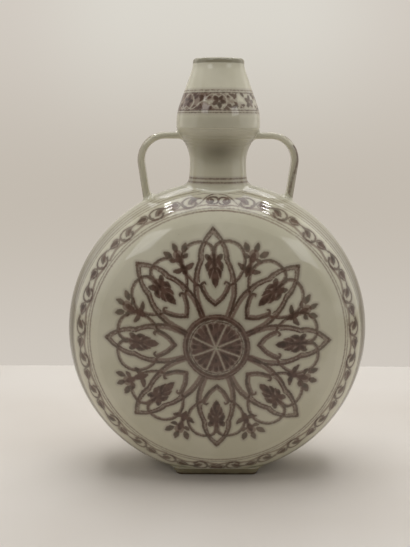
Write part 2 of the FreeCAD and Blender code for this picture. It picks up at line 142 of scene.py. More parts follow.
def make_piece(name: str, rings: Array, poles: Optional[Array], node: str, finish: Material,
               paint: Optional[Paint] = None, crease: float = 40.0) -> None:
    """Turn rings of points into a closed smooth piece of the flask that stands for a node of the frame.

    Args:
        name: the piece's name.
        rings: array (rings, around, 3) in millimetres.
        poles: the two closing points of an end-capped piece, or None for a ring-shaped one.
        node: the node that the piece stands for.
        finish: the material.
        paint: values per point of the rings, by attribute name.
        crease: edges that turn by more than this many degrees stay sharp.
    """
    count, around = rings.shape[:2]
    points = rings.reshape(-1, 3)
    if poles is not None:
        points = np.concatenate([points, poles])
    quads, triangles = wrapped_faces(count, around, poles is not None)
    if enclosed_volume(points, quads, triangles) < 0:
        quads, triangles = quads[:, ::-1], triangles[:, ::-1]
    mesh = bpy.data.meshes.new(name)
    mesh.vertices.add(len(points))
    mesh.vertices.foreach_set("co", (points * MM).astype(np.float32).ravel())
    corners = np.concatenate([quads.ravel(), triangles.ravel()]).astype(np.int32)
    starts = np.concatenate([np.arange(len(quads)) * 4, len(quads) * 4 + np.arange(len(triangles)) * 3])
    mesh.loops.add(len(corners))
    mesh.loops.foreach_set("vertex_index", corners)
    mesh.polygons.add(len(starts))
    mesh.polygons.foreach_set("loop_start", starts.astype(np.int32))
    mesh.update(calc_edges=True)
    for key, values in (paint or {}).items():
        spare = np.full(len(points) - values.size, CLEAR)
        attribute = mesh.attributes.new(key, "FLOAT", "POINT")
        attribute.data.foreach_set("value", np.concatenate([values.ravel(), spare]).astype(np.float32))
    mesh.shade_smooth()
    mesh.set_sharp_from_angle(angle=math.radians(crease))
    mesh.materials.append(finish)
    piece = set_up(name, mesh)
    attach(piece, "root")
    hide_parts(node)
    LOG.info("%s stands for %s: %d faces", name, node, len(mesh.polygons))


def spread(start: Array, end: Array, count: int) -> Array:
    """Step evenly from one array to another along a new first axis, both ends kept."""
    share = np.linspace(0, 1, count).reshape((-1,) + (1,) * np.ndim(start))
    return start + share * (end - start)


def rise(value: Array, low: float, high: float) -> Array:
    """Share of the way from one value to another, from 0 to 1."""
    return np.clip((value - low) / (high - low), 0, 1)


def bell(value: Array, middle: float, reach: float) -> Array:
    """A smooth hill: 1 at the middle, about a third at the reach."""
    return np.exp(-((value - middle) / reach) ** 2)


def unit(vectors: Array) -> Array:
    """Scale vectors, one per row, to length one."""
    return vectors / np.linalg.norm(vectors, axis=-1, keepdims=True)


def in_surface(ways: Array, normals: Array) -> Array:
    """Bend directions into a surface: each without its part along the normal, at length one."""
    return unit(ways - np.einsum("ij,ij->i", ways, normals)[:, None] * normals)


def leg(longest: float | Array, other: float | Array) -> Array:
    """Third side of a right triangle from its longest and another side, or nought where that one is longer."""
    return np.sqrt(np.maximum(longest ** 2 - other ** 2, 0))


def circle(turn: Array) -> Array:
    """Points of the unit circle, one row for each angle."""
    return np.column_stack([np.cos(turn), np.sin(turn)])


def turned(r: Array, phi: Array, z: Array) -> Array:
    """Turn radii and heights about the neck's axis."""
    return np.stack([r * np.cos(phi), r * np.sin(phi), z + 0 * phi], axis=-1)


def from_front(phi: Array) -> Array:
    """Angle round the neck's axis from the front, within half a turn either way."""
    return np.mod(phi + 1.5 * math.pi, 2 * math.pi) - math.pi


def fillet_rings(corner: Array, wall: Array, ground: Array, radius: float | Array, steps: int,
                 settle: Optional[Callable[[Array, Array], Array]] = None) -> Array:
    """Build the rings of a slip fillet in the corner between a wall and the ground that it stands on.

    The section is a circular arc of the given radius, tangent to both, written as a rational quadratic curve whose
    middle point is the corner and whose weight is the sine of half the corner's angle. Its tangent length is the
    radius over the tangent of half that angle. One more ring in the corner closes the section.

    Args:
        corner: points of the joint line, one row each.
        wall: unit vectors up the wall.
        ground: unit vectors out along the ground.
        radius: the fillet's radius, one value or one for each point.
        steps: rings of the arc.
        settle: gives the height of the ground at places x and y, to lay the outer edge on it.

    Returns:
        Array (rings, points, 3).
    """
    half = np.arccos(np.clip(np.einsum("ij,ij->i", wall, ground), -1, 1))[:, None] / 2
    radius = np.reshape(radius, (-1, 1))
    longest = 2.5 * radius
    reach = np.minimum(radius / np.tan(half), longest)
    up, out = corner + reach * wall, corner + reach * ground
    t = np.linspace(0, 1, steps)[:, None, None]
    middle = 2 * np.sin(half) * t * (1 - t)
    arc = ((1 - t) ** 2 * up + middle * corner + t ** 2 * out) / ((1 - t) ** 2 + middle + t ** 2)
    if settle is not None:
        arc[:, :, 2] += t[:, :, 0] ** 2 * (settle(out[:, 0], out[:, 1]) - out[:, 2])
    return np.concatenate([arc, corner[None]])


# ---------------------------------------------------------------------------------------------- brushwork

def spline(points: Array, steps: int) -> Array:
    """Draw a smooth line through points: on each span the cubic whose end slopes are half its neighbours' chord.

    Args:
        points: the points, any number of columns.
        steps: new points on each span.

    Returns:
        The points of the line.
    """
    padded = np.concatenate([2 * points[:1] - points[1:2], points, 2 * points[-1:] - points[-2:-1]])
    a, b, c, d = (part[:, None, :] for part in (padded[:-3], padded[1:-2], padded[2:-1], padded[3:]))
    t = np.linspace(0, 1, steps, endpoint=False)[None, :, None]
    line = 0.5 * (2 * b + (c - a) * t + (2 * a - 5 * b + 4 * c - d) * t ** 2 + (3 * b - a - 3 * c + d) * t ** 3)
    return np.concatenate([line.reshape(-1, points.shape[1]), points[-1:]])


@dataclass(frozen=True)
class Stroke:
    """One pull of the brush: points along it and the brush's half width at each, as rows (x, y, half width)."""
    rows: Array

    @classmethod
    def pull(cls, points: Points, halves: Sequence[float]) -> "Stroke":
        """Draw a smooth stroke through a few points.

        Args:
            points: the points that the brush passes.
            halves: half widths, spread evenly from start to end.

        Returns:
            The stroke.
        """
        given = np.asarray(points, float)
        widths = np.interp(np.linspace(0, 1, len(given)), np.linspace(0, 1, len(halves)), halves)
        rows = spline(np.column_stack([given, widths]), 5)
        rows[:, 2] = np.maximum(rows[:, 2], FINEST)
        return cls(rows)

    def moved(self, turn: float = 0.0, shift: Sequence[float] = (0.0, 0.0)) -> "Stroke":
        """Turn the stroke and then shift it.

        Args:
            turn: the angle in radians, from Y towards X.
            shift: the way in X and Y.

        Returns:
            The new stroke.
        """
        x, y, half = self.rows.T
        cos, sin = math.cos(turn), math.sin(turn)
        return Stroke(np.column_stack([x * cos + y * sin + shift[0], y * cos - x * sin + shift[1], half]))

    def scaled(self, across: float, along: float) -> "Stroke":
        """Stretch or mirror the stroke's points in X and Y, with its width kept."""
        return Stroke(self.rows * [across, along, 1.0])

    def beside(self, offset: float, half: float) -> "Stroke":
        """Draw a second stroke along this one.

        Args:
            offset: how far it lies to the left.
            half: its half width, the same all along.

        Returns:
            The new stroke.
        """
        along = np.gradient(self.rows[:, :2], axis=0)
        left = unit(np.column_stack([-along[:, 1], along[:, 0]]))
        return Stroke(np.column_stack([self.rows[:, :2] + offset * left, np.full(len(along), half)]))

    def press_into(self, depth: Array, where: Array) -> None:
        """Lower a field of distances to this stroke's edge, wherever the stroke is the nearest one.

        The distance to one segment is the length from the point to its nearest place on the segment, less the half
        width there. Inside the stroke it is below zero.

        Args:
            depth: the field, changed in place.
            where: points, one row each.
        """
        margin = CLEAR + self.rows[:, 2].max()
        low, high = self.rows[:, :2].min(axis=0) - margin, self.rows[:, :2].max(axis=0) + margin
        near = np.flatnonzero(np.all((where > low) & (where < high), axis=1))
        if not near.size:
            return
        a, b = self.rows[:-1], self.rows[1:]
        along = b[:, :2] - a[:, :2]
        away = where[near, None, :] - a[None, :, :2]
        share = np.clip((away * along).sum(axis=2) / np.maximum((along ** 2).sum(axis=1), 1e-9), 0, 1)
        gap = np.linalg.norm(away - share[..., None] * along, axis=2)
        gap -= a[:, 2] + share * (b[:, 2] - a[:, 2])
        depth[near] = np.minimum(depth[near], gap.min(axis=1))


def pulls(*strokes: tuple[Points, Sequence[float]]) -> list[Stroke]:
    """Draw several strokes, each given by its points and half widths."""
    return [Stroke.pull(points, halves) for points, halves in strokes]


@dataclass
class Brushwork:
    """Strokes of two strengths: dark ink, and the pale wash that bleeds beside it."""
    ink: list[Stroke] = field(default_factory=list)
    wash: list[Stroke] = field(default_factory=list)

    def take(self, other: "Brushwork", change: Callable[[Stroke], Stroke]) -> None:
        """Add another drawing's strokes, each changed by a function."""
        self.ink += map(change, other.ink)
        self.wash += map(change, other.wash)

    def take_both(self, half: "Brushwork") -> None:
        """Add a drawing's strokes on both sides of its middle line."""
        for side in Side:
            self.take(half, lambda stroke: stroke.scaled(side.value, 1))

    def fields(self, u: Array, v: Array) -> Paint:
        """Measure how far points lie from the painting.

        Args:
            u: the points' places across the drawing's own plane.
            v: their places up it.

        Returns:
            Distances to the edge of the ink and of the wash, by attribute name, at most CLEAR.
        """
        where = np.column_stack([u.ravel(), v.ravel()])
        result = {}
        for name, strokes in (("ink", self.ink), ("wash", self.wash)):
            depth = np.full(len(where), CLEAR)
            for stroke in strokes:
                stroke.press_into(depth, where)
            result[name] = depth.reshape(u.shape)
        return result


def ring_lines(distance: Array, *lines: tuple[float, float]) -> Array:
    """Distance to the edge of the nearest ring line, of those given by their middles and widths."""
    return np.min([np.abs(distance - at) - width / 2 for at, width in lines], axis=0)


@dataclass
class Medallion:
    """The eight-lappet rosette on a face, about its own middle; a lappet is drawn with v outwards and u across.

    Each lappet has a lean in degrees and a stretch of its own, clockwise from the top, as the hand drew them.
    """
    middle: tuple[float, float] = (-1.2, 104.6)
    lean: tuple[float, ...] = (-1.7, 0.9, -1.5, -2.7, -0.6, 2.7, 2.4, 1.0)
    stretch: tuple[float, ...] = (1.032, 1.006, 1.016, 1.005, 0.955, 0.97, 0.977, 1.003)
    roundel_radius: float = 22.0
    rings: Lines = ((18.2, 0.9), (20.2, 2.0), (22.5, 0.9))
    ring_wash: tuple[float, float] = (21.3, 2.6)
    wedge_end: float = 16.6
    wedge_ground: float = 17.4
    wedge_waves: tuple[float, int] = (0.5, 24)
    hub: float = 1.6
    hub_reach: float = 5.0
    hub_half: float = 0.7
    spoke_half: float = 0.85
    spoke_wash: float = 0.45
    spoke_turn: float = 0.03
    nick_start: float = 12.8
    nick_slope: float = 0.11
    nick_turn: float = 0.13
    middle_darkening: float = 0.44
    darkening_reach: float = 56.0

    def lappet(self) -> Brushwork:
        """Draw one lappet: its ogee outline, the lobes that cross it, the shield below and the leaves inside.

        Returns:
            The drawing.
        """
        outlines = pulls(
            ([(9.3, 21.0), (11.4, 27.3), (13.1, 34.4), (13.4, 41.0)], [1.05, 0.95, 1.0]),
            ([(13.4, 41.0), (13.0, 46.0), (11.8, 51.5), (9.6, 57.2)], [0.95, 0.85, 0.85]),
            ([(9.6, 57.2), (9.7, 60.0), (9.2, 63.0), (7.6, 67.5), (4.5, 73.0), (0.0, 78.3)],
             [0.85, 0.8, 0.8, 0.85]),
            ([(0.0, 28.2), (4.7, 32.5), (7.5, 36.8), (9.2, 40.6)], [1.0, 1.05, 1.1]),
            ([(12.0, 41.5), (15.5, 44.5), (18.8, 48.5), (20.7, 53.5), (21.2, 57.5), (20.0, 62.3), (17.0, 66.5),
              (12.5, 69.0), (8.0, 69.6), (4.0, 68.8), (1.2, 66.6), (0.4, 64.0), (0.3, 60.5)],
             [0.7, 0.75, 0.75, 0.75, 0.85, 0.95]))
        bleeds = (1.0, 0.75, 0.6, 0.7, 0.45)
        half = Brushwork(
            outlines + pulls(
                ([(9.2, 40.3), (8.8, 42.2), (7.0, 43.4), (6.0, 42.4)], [1.0, 0.9, 0.6]),
                ([(9.0, 40.6), (11.0, 41.8), (13.0, 42.0)], [0.9, 0.8]),
                ([(10.1, 43.4), (10.2, 47.6), (9.0, 52.8), (6.9, 57.4)], [0.4, 0.45, 0.4]),
                ([(6.9, 57.4), (7.1, 61.0), (5.8, 66.6), (3.1, 71.2), (0.0, 74.6)], [0.4, 0.4]),
                ([(2.4, 57.6), (3.9, 58.8), (4.8, 60.0)], [1.2, 1.9, 1.4]),
                ([(1.6, 56.2), (4.3, 54.4), (4.9, 50.6)], [0.8, 1.7, 1.8, 0.5]),
                ([(1.2, 52.4), (3.2, 49.8), (3.5, 46.0)], [0.7, 1.4, 1.4, 0.3])),
            [line.beside(line.rows[0, 2] + bleed, bleed) for line, bleed in zip(outlines, bleeds)])
        drawing = Brushwork(
            pulls(([(0.0, 40.2), (0.0, 43.6), (0.0, 47.2), (0.0, 51.2)], [0.3, 2.2, 2.1, 0.8]),
                  ([(0.0, 51.0), (0.0, 54.8), (0.0, 58.8)], [0.9, 1.7, 1.1]),
                  ([(0.0, 58.6), (0.0, 62.0), (0.0, 66.0)], [1.1, 0.9, 0.8])),
            pulls(([(0.0, 43.0), (0.0, 50.0), (0.0, 57.0)], [1.6, 4.2, 4.6])))
        drawing.take_both(half)
        return drawing

    def spray(self) -> Brushwork:
        """Draw the spray of leaves in the gap between two lappets.

        Returns:
            The drawing.
        """
        half = Brushwork(pulls(
            ([(4.2, 67.4), (6.2, 69.6), (8.0, 72.0)], [0.6, 2.0, 2.2, 0.8]),
            ([(2.4, 64.6), (4.6, 64.4), (6.8, 65.4)], [0.6, 1.6, 1.5, 0.4]),
            ([(1.2, 57.0), (4.0, 56.8), (7.2, 57.8)], [1.1, 1.7, 1.9, 0.9])))
        drawing = Brushwork(
            pulls(([(0.0, 52.6), (0.0, 56.8), (0.0, 60.2)], [1.0, 2.1, 0.8]),
                  ([(0.0, 61.6), (0.0, 64.6), (0.0, 67.6)], [0.7, 2.0, 1.0]),
                  ([(0.0, 69.6), (0.3, 72.0), (0.0, 75.0)], [0.8, 2.0, 1.9, 0.6])),
            pulls(([(0.0, 55.0), (0.0, 61.0), (0.0, 67.0)], [2.2, 1.6, 3.4])))
        drawing.take_both(half)
        return drawing

    def roundel(self, r: Array, around: Array) -> Paint:
        """Paint the roundel in the middle: eight dark wedges between light spokes, inside a thin and a banded ring.

        A wedge is as far from its spokes as the radius times the sine of the angle to them. Its outer end waves, and
        two light nicks run into it from there.

        Args:
            r: distance from the middle.
            around: angle round it from the top.

        Returns:
            Distances to the ink and to the wash, by attribute name.
        """
        eighth = math.pi / 4
        beside = np.mod(around - self.spoke_turn + eighth / 2, eighth) - eighth / 2
        spoke = r * np.sin(eighth / 2 - np.abs(beside))
        sides = self.spoke_half + self.hub_half * np.exp(-r / self.hub_reach) - spoke
        height, number = self.wedge_waves
        ends = r - self.wedge_end - height * np.cos(beside * number)
        nicks = self.nick_slope * (r - self.nick_start) - r * np.abs(np.sin(np.abs(beside) - self.nick_turn))
        wedge = np.max([sides, ends, nicks, self.hub - r], axis=0)
        ground = np.maximum(r - self.wedge_ground, self.spoke_wash - spoke)
        return {"ink": np.minimum(wedge, ring_lines(r, *self.rings)),
                "wash": np.minimum(ground, ring_lines(r, self.ring_wash))}

    def fields(self, x: Array, z: Array) -> Paint:
        """Paint the medallion.

        Every point is bent a little by slow waves, as a hand strays, and is then measured against the eight
        lappets, each turned to its own place, the eight sprays between them, the roundel and its rings.

        Args:
            x: distance across the face, to the viewer's right.
            z: height.

        Returns:
            Ink, wash, load and the ground's darkening, by attribute name.
        """
        u = x - self.middle[0] + 0.35 * np.sin(z / 9.0 + 1.0) + 0.25 * np.sin(x / 6.0 + z / 14.0)
        v = z - self.middle[1] + 0.35 * np.sin(x / 8.0 + 2.0) + 0.25 * np.sin(z / 5.5 - x / 17.0)
        r = np.hypot(u, v)
        drawing, lappet, spray = Brushwork(), self.lappet(), self.spray()
        for step, (lean, stretch) in enumerate(zip(self.lean, self.stretch)):
            turn = math.radians(45 * step + lean)
            between = math.radians(45 * step + 22.5 + 1.2 * math.sin(2.3 * step))
            drawing.take(lappet, lambda stroke: stroke.moved(turn).scaled(stretch, stretch))
            drawing.take(spray, lambda stroke: stroke.moved(between))
        core = self.roundel(r, np.arctan2(u, v))
        painted = {name: np.minimum(np.where(r < self.roundel_radius, CLEAR, values), core[name])
                   for name, values in drawing.fields(u, v).items()}
        # the brush runs drier towards the tips, and the ground is darker towards the middle, fading out
        painted["load"] = 0.94 + 0.05 * np.sin(u / 21 + v / 17) - 0.12 * rise(r, 56, 72)
        painted["pool_and_shade"] = self.middle_darkening * bell(r, 0, self.darkening_reach)
        return painted


@dataclass
class ScrollBorder:
    """The running scroll round the rim, between soft outer and thin inner ring lines.

    It runs down both sides from the top. Along it s is the length from the top, on the circle of mean_radius, and
    across it w is the length over the rim's curve, outwards from the scroll's middle line. The scroll and the inner
    lines draw in towards the face by twice the sag at the bottom. Angles are in degrees.
    """
    mean_radius: float = 99.5
    rim_arc: float = 44.0
    middle_turn: float = 42.3
    first_curl: float = 11.3
    pitch: float = 14.66
    curls: int = 12
    sag: float = 2.6
    outer_lines: Lines = ((10.6, 0.8), (7.6, 0.6), (13.6, 0.6), (17.5, 0.8))
    inner_lines: Lines = ((-6.7, 0.7), (-8.8, 1.0))

    def pair(self) -> Brushwork:
        """Draw one large curl, with its tip towards the top, and the small curl that follows it.

        Returns:
            The drawing.
        """
        return Brushwork(
            pulls(([(-7.6, 2.4), (-4.6, 2.6), (-2.2, 1.8), (-0.4, 0.4), (0.6, -1.0), (1.6, -1.4)],
                   [0.4, 1.2, 2.2, 1.9, 1.1, 0.5]),
                  ([(-4.6, 3.2), (-1.4, 4.4), (2.2, 4.5), (5.2, 2.6), (5.9, -0.6), (4.2, -3.6), (0.8, -4.7),
                    (-2.4, -3.9), (-4.0, -1.6)], [0.7, 0.65, 0.9, 0.8, 1.0]),
                  ([(10.0, 1.0), (11.4, 2.0), (13.2, 2.2), (16.6, 2.0)], [1.5, 2.1, 1.5, 0.4]),
                  ([(16.4, 2.0), (18.0, 2.1), (19.0, 2.3)], [0.4, 0.5]),
                  ([(3.8, -2.6), (6.2, -0.6), (7.6, 1.6), (9.0, 3.6), (11.6, 4.4)], [0.6, 0.6, 0.5]),
                  ([(7.4, 0.6), (9.2, -1.6), (12.0, -1.8), (14.6, -0.2), (16.4, 1.6)], [0.5, 0.65, 0.45])),
            pulls(([(1.0, -4.6), (6.0, -4.2), (12.0, -3.2), (17.0, -3.6), (22.0, -4.4)], [0.9, 1.0]),
                  ([(-2.4, 0.4), (-1.0, -1.6)], [1.8, 1.2]),
                  ([(11.0, 0.8), (13.0, 1.2)], [2.3, 2.0])))

    def crown(self) -> Brushwork:
        """Draw the pair of curls that face each other at the top, under their arch.

        Returns:
            The drawing.
        """
        half = Brushwork(
            pulls(([(5.6, -3.4), (3.0, -3.6), (0.4, -2.2), (0.6, 1.6), (3.6, 3.0), (6.8, 1.8), (7.6, -0.8),
                    (5.8, -2.4), (4.2, -0.9), (5.0, 0.5)], [0.3, 0.5, 0.7, 0.8, 0.9, 1.3, 1.5, 1.1]),
                  ([(0.0, 6.6), (4.0, 5.8), (8.4, 3.0), (12.0, -1.0), (15.0, -3.6)], [0.4, 0.45, 0.35])),
            pulls(([(0.0, -5.2), (5.0, -4.8), (10.0, -4.0), (15.0, -4.6)], [0.6, 0.5])))
        drawing = Brushwork()
        drawing.take_both(half)
        return drawing

    def fields(self, theta: Array, turn: Array) -> Paint:
        """Paint the border.

        Args:
            theta: angle round the face from the top, in radians, within half a turn either way.
            turn: how far the rim's surface has turned from the edge towards the face, in radians.

        Returns:
            Ink, wash, load and the ground's darkening, by attribute name.
        """
        s = np.abs(theta) * self.mean_radius
        w = (math.radians(self.middle_turn) - turn) * self.rim_arc
        stray = 0.3 * np.sin(s / 11.0 + 2.0 * np.sign(theta)) + 0.2 * np.sin(s / 4.7)
        sag = self.sag * (np.cos(theta) - 1)
        drawing, pair = self.crown(), self.pair()
        for step in range(self.curls):
            angle = self.first_curl + self.pitch * step + 0.5 * math.sin(5.1 * step)
            shift = (math.radians(angle) * self.mean_radius, 0.5 * math.sin(2.7 * step))
            drawing.take(pair, lambda stroke: stroke.moved(shift=shift))
        painted = drawing.fields(s, w + stray - sag)
        lines = w + 0.25 * np.sin(2 * s / self.mean_radius + 1.0)
        ringed = np.minimum(ring_lines(lines, *self.outer_lines), ring_lines(lines - sag, *self.inner_lines))
        painted["wash"] = np.minimum(painted["wash"], ringed)
        # the brush is fuller at the sides and fullest at the top
        painted["load"] = 0.64 + 0.14 * np.sin(np.abs(theta)) + 0.06 * np.sin(s / 13 + theta) + 0.3 * bell(s, 0, 14)
        # glaze ran thick over the rim's outer zone, and painted shade darkens it more towards the sides
        painted["pool_and_shade"] = rise(lines, 6.5, 9.5) * rise(lines, 30, 24) * (0.16 + 0.7 * np.sin(theta) ** 2)
        return painted


@dataclass
class FlowerBand:
    """The flower scroll round the mouth bulb: dark blossoms and leaves on a wash, with stems left light in it."""
    low: float = 263.5
    high: float = 275.9
    radius: float = 26.4
    blossoms: int = 7
    tendril_radius: float = 5.4
    dark_lip: tuple[float, float] = (295.9, 296.5)

    def unit_drawing(self, span: float) -> Brushwork:
        """Draw one blossom with the stem and the leaves up to the next one.

        Args:
            span: the length round the bulb from one blossom to the next.

        Returns:
            The drawing, with the blossom at the origin and the light stems in place of a wash.
        """
        petal = Stroke.pull([(0.0, 0.9), (0.0, 2.4), (0.0, 3.7)], [0.5, 1.5, 1.1])
        petals = [petal.moved(math.radians(72 * step + 10)) for step in range(5)]
        leaf = Stroke.pull([(0.0, 0.0), (0.4, 2.0), (0.0, 4.4)], [0.3, 1.3, 1.2, 0.2])
        places = [(5.0, 2.4, 60), (5.6, -2.6, 115), (-5.0, 3.4, -40), (-5.4, -2.2, -120), (8.6, 4.2, 100),
                  (8.4, -4.6, 60), (10.6, 0.4, 20), (10.8, -1.4, 150), (2.6, 4.6, 80), (1.8, -5.2, 100)]
        leaves = [leaf.moved(math.radians(turn), (x, y)) for x, y, turn in places]
        ring = np.linspace(-0.9, 1.35 * math.pi, 12)
        light = pulls(
            (self.tendril_radius * np.column_stack([np.sin(ring), np.cos(ring)]), [0.25, 0.45, 0.25]),
            ([(0.0, -3.2), (span * 0.22, -5.0), (span * 0.5, 0.0), (span * 0.78, 5.0), (span, 3.2)],
             [0.4, 0.35, 0.4]),
            ([(span * 0.36, -2.6), (span * 0.5, 0.0), (span * 0.66, 0.4), (span * 0.74, -1.6)], [0.4, 0.25]))
        return Brushwork(petals + leaves, light)

    def fields(self, phi: Array, z: Array) -> Paint:
        """Paint the bulb: every other blossom upside down, and less wash to the viewer's right.

        Args:
            phi: angle round the neck's axis from the front, in radians.
            z: height.

        Returns:
            Ink, wash, load and the ground's darkening, by attribute name.
        """
        span = 2 * math.pi * self.radius / self.blossoms
        drawing, one = Brushwork(), self.unit_drawing(span)
        for step in range(-1, self.blossoms + 1):
            shift = (span * (step + 0.5) - math.pi * self.radius, 0.3 * math.sin(3.0 * step))
            flip = 1 - 2 * (step % 2)
            drawing.take(one, lambda stroke: stroke.scaled(1, flip).moved(shift=shift))
        drawn = drawing.fields(phi * self.radius, z - (self.low + self.high) / 2)
        # outside is beyond the band's edges or in a light stem, and sparing is where the wash runs out
        outside = np.max([self.low + 0.4 - z, z - self.high + 0.4, -drawn["wash"]], axis=0)
        sparing = 1.5 * np.sin(phi) - 0.1 + 0.5 * np.sin(5 * phi + z / 2)
        lines = ring_lines(z, (self.high + 1.4, 0.5), (self.high - 0.3, 0.6), (self.low + 0.3, 0.7),
                           (self.low - 1.3, 0.45))
        # the ground darkens where glaze ran thick on the lip, and as painted shade low on the bulb's front
        return {"ink": np.minimum(np.maximum(drawn["ink"], outside), np.minimum(lines, CLEAR)),
                "wash": np.maximum(outside, np.minimum(sparing, CLEAR)),
                "load": 0.9 - 0.1 * np.sin(phi + 0.4),
                "pool_and_shade": 0.7 * rise(z, *self.dark_lip) + 0.24 * bell(phi, 0, 0.9) * rise(z, 263, 258)}


# ---------------------------------------------------------------------------------------------- finishes

class Kind(Enum):
    """Kinds of shader node: type, fixed options, inputs in the order that values are given, and the output taken."""
    PLACE = ("TexCoord", {}, (), "Object")
    SPLIT = ("SeparateXYZ", {}, ("Vector",), "Z")
    FIELD = ("Attribute", {}, (), "Fac")
    NOISE = ("TexNoise", {}, ("Vector", "Scale", "Detail"), "Fac")
    RAMP = ("MapRange", {"interpolation_type": "SMOOTHSTEP"},
            ("Value", "From Min", "From Max", "To Min", "To Max"), "Result")
    MIX = ("Mix", {"data_type": "RGBA"}, (0, 6, 7), 2)
    MATH = ("Math", {}, (0, 1), 0)
    BUMP = ("Bump", {}, ("Strength", "Distance", "Height"), "Normal")
    COAT = ("BsdfPrincipled", {}, ("Base Color", "Roughness", "Normal"), 0)
    MATT = ("BsdfPrincipled", {}, ("Base Color", "Roughness", "Specular IOR Level"), 0)
    PAPER = ("BsdfDiffuse", {}, ("Color",), 0)
    GLOW = ("Emission", {}, ("Color", "Strength"), 0)
    PATH = ("LightPath", {}, (), "Is Camera Ray")
    CHOICE = ("MixShader", {}, (0, 1, 2), 0)


def linear(code: str) -> tuple[float, float, float, float]:
    """Turn a colour into the linear values that a shader takes.

    Args:
        code: six sRGB hex digits.

    Returns:
        Red, green, blue and full cover.
    """
    shown = np.array([int(code[start:start + 2], 16) for start in (0, 2, 4)]) / 255
    light = np.where(shown <= 0.04045, shown / 12.92, ((shown + 0.055) / 1.055) ** 2.4)
    return (*light.tolist(), 1.0)


def per_mm(size: float) -> float:
    """Scale of a noise pattern whose lumps are about a given size in millimetres."""
    return 1 / (size * MM)


def add(tree: Tree, kind: Kind, *values: Any, output: Optional[str] = None, **settings: Any) -> Socket:
    """Add one shader node, set its options and fill or link its inputs.

    Args:
        tree: the node tree.
        kind: the kind of node.
        values: plain values or output sockets for the kind's inputs, in their order.
        output: the output to take, where it isn't the kind's usual one.
        settings: options besides the kind's own.

    Returns:
        The output socket.
    """
    type_name, options, names, usual = kind.value
    node = tree.nodes.new(f"ShaderNode{type_name}")
    for option, value in {**options, **settings}.items():
        setattr(node, option, value)
    for name, value in zip(names, values):
        if isinstance(value, Socket):
            tree.links.new(value, node.inputs[name])
        else:
            node.inputs[name].default_value = value
    return node.outputs[usual if output is None else output]


def blank(name: str) -> tuple[Material, Tree]:
    """Start a material whose node tree holds only its output.

    Args:
        name: the material's name.

    Returns:
        The material and its node tree.
    """
    material = bpy.data.materials.new(name)
    material.use_nodes = True
    material.node_tree.nodes.remove(material.node_tree.nodes["Principled BSDF"])
    return material, material.node_tree


def finish_with(tree: Tree, shader: Socket) -> None:
    """Send a shader to the material's output."""
    tree.links.new(shader, tree.nodes["Material Output"].inputs["Surface"])


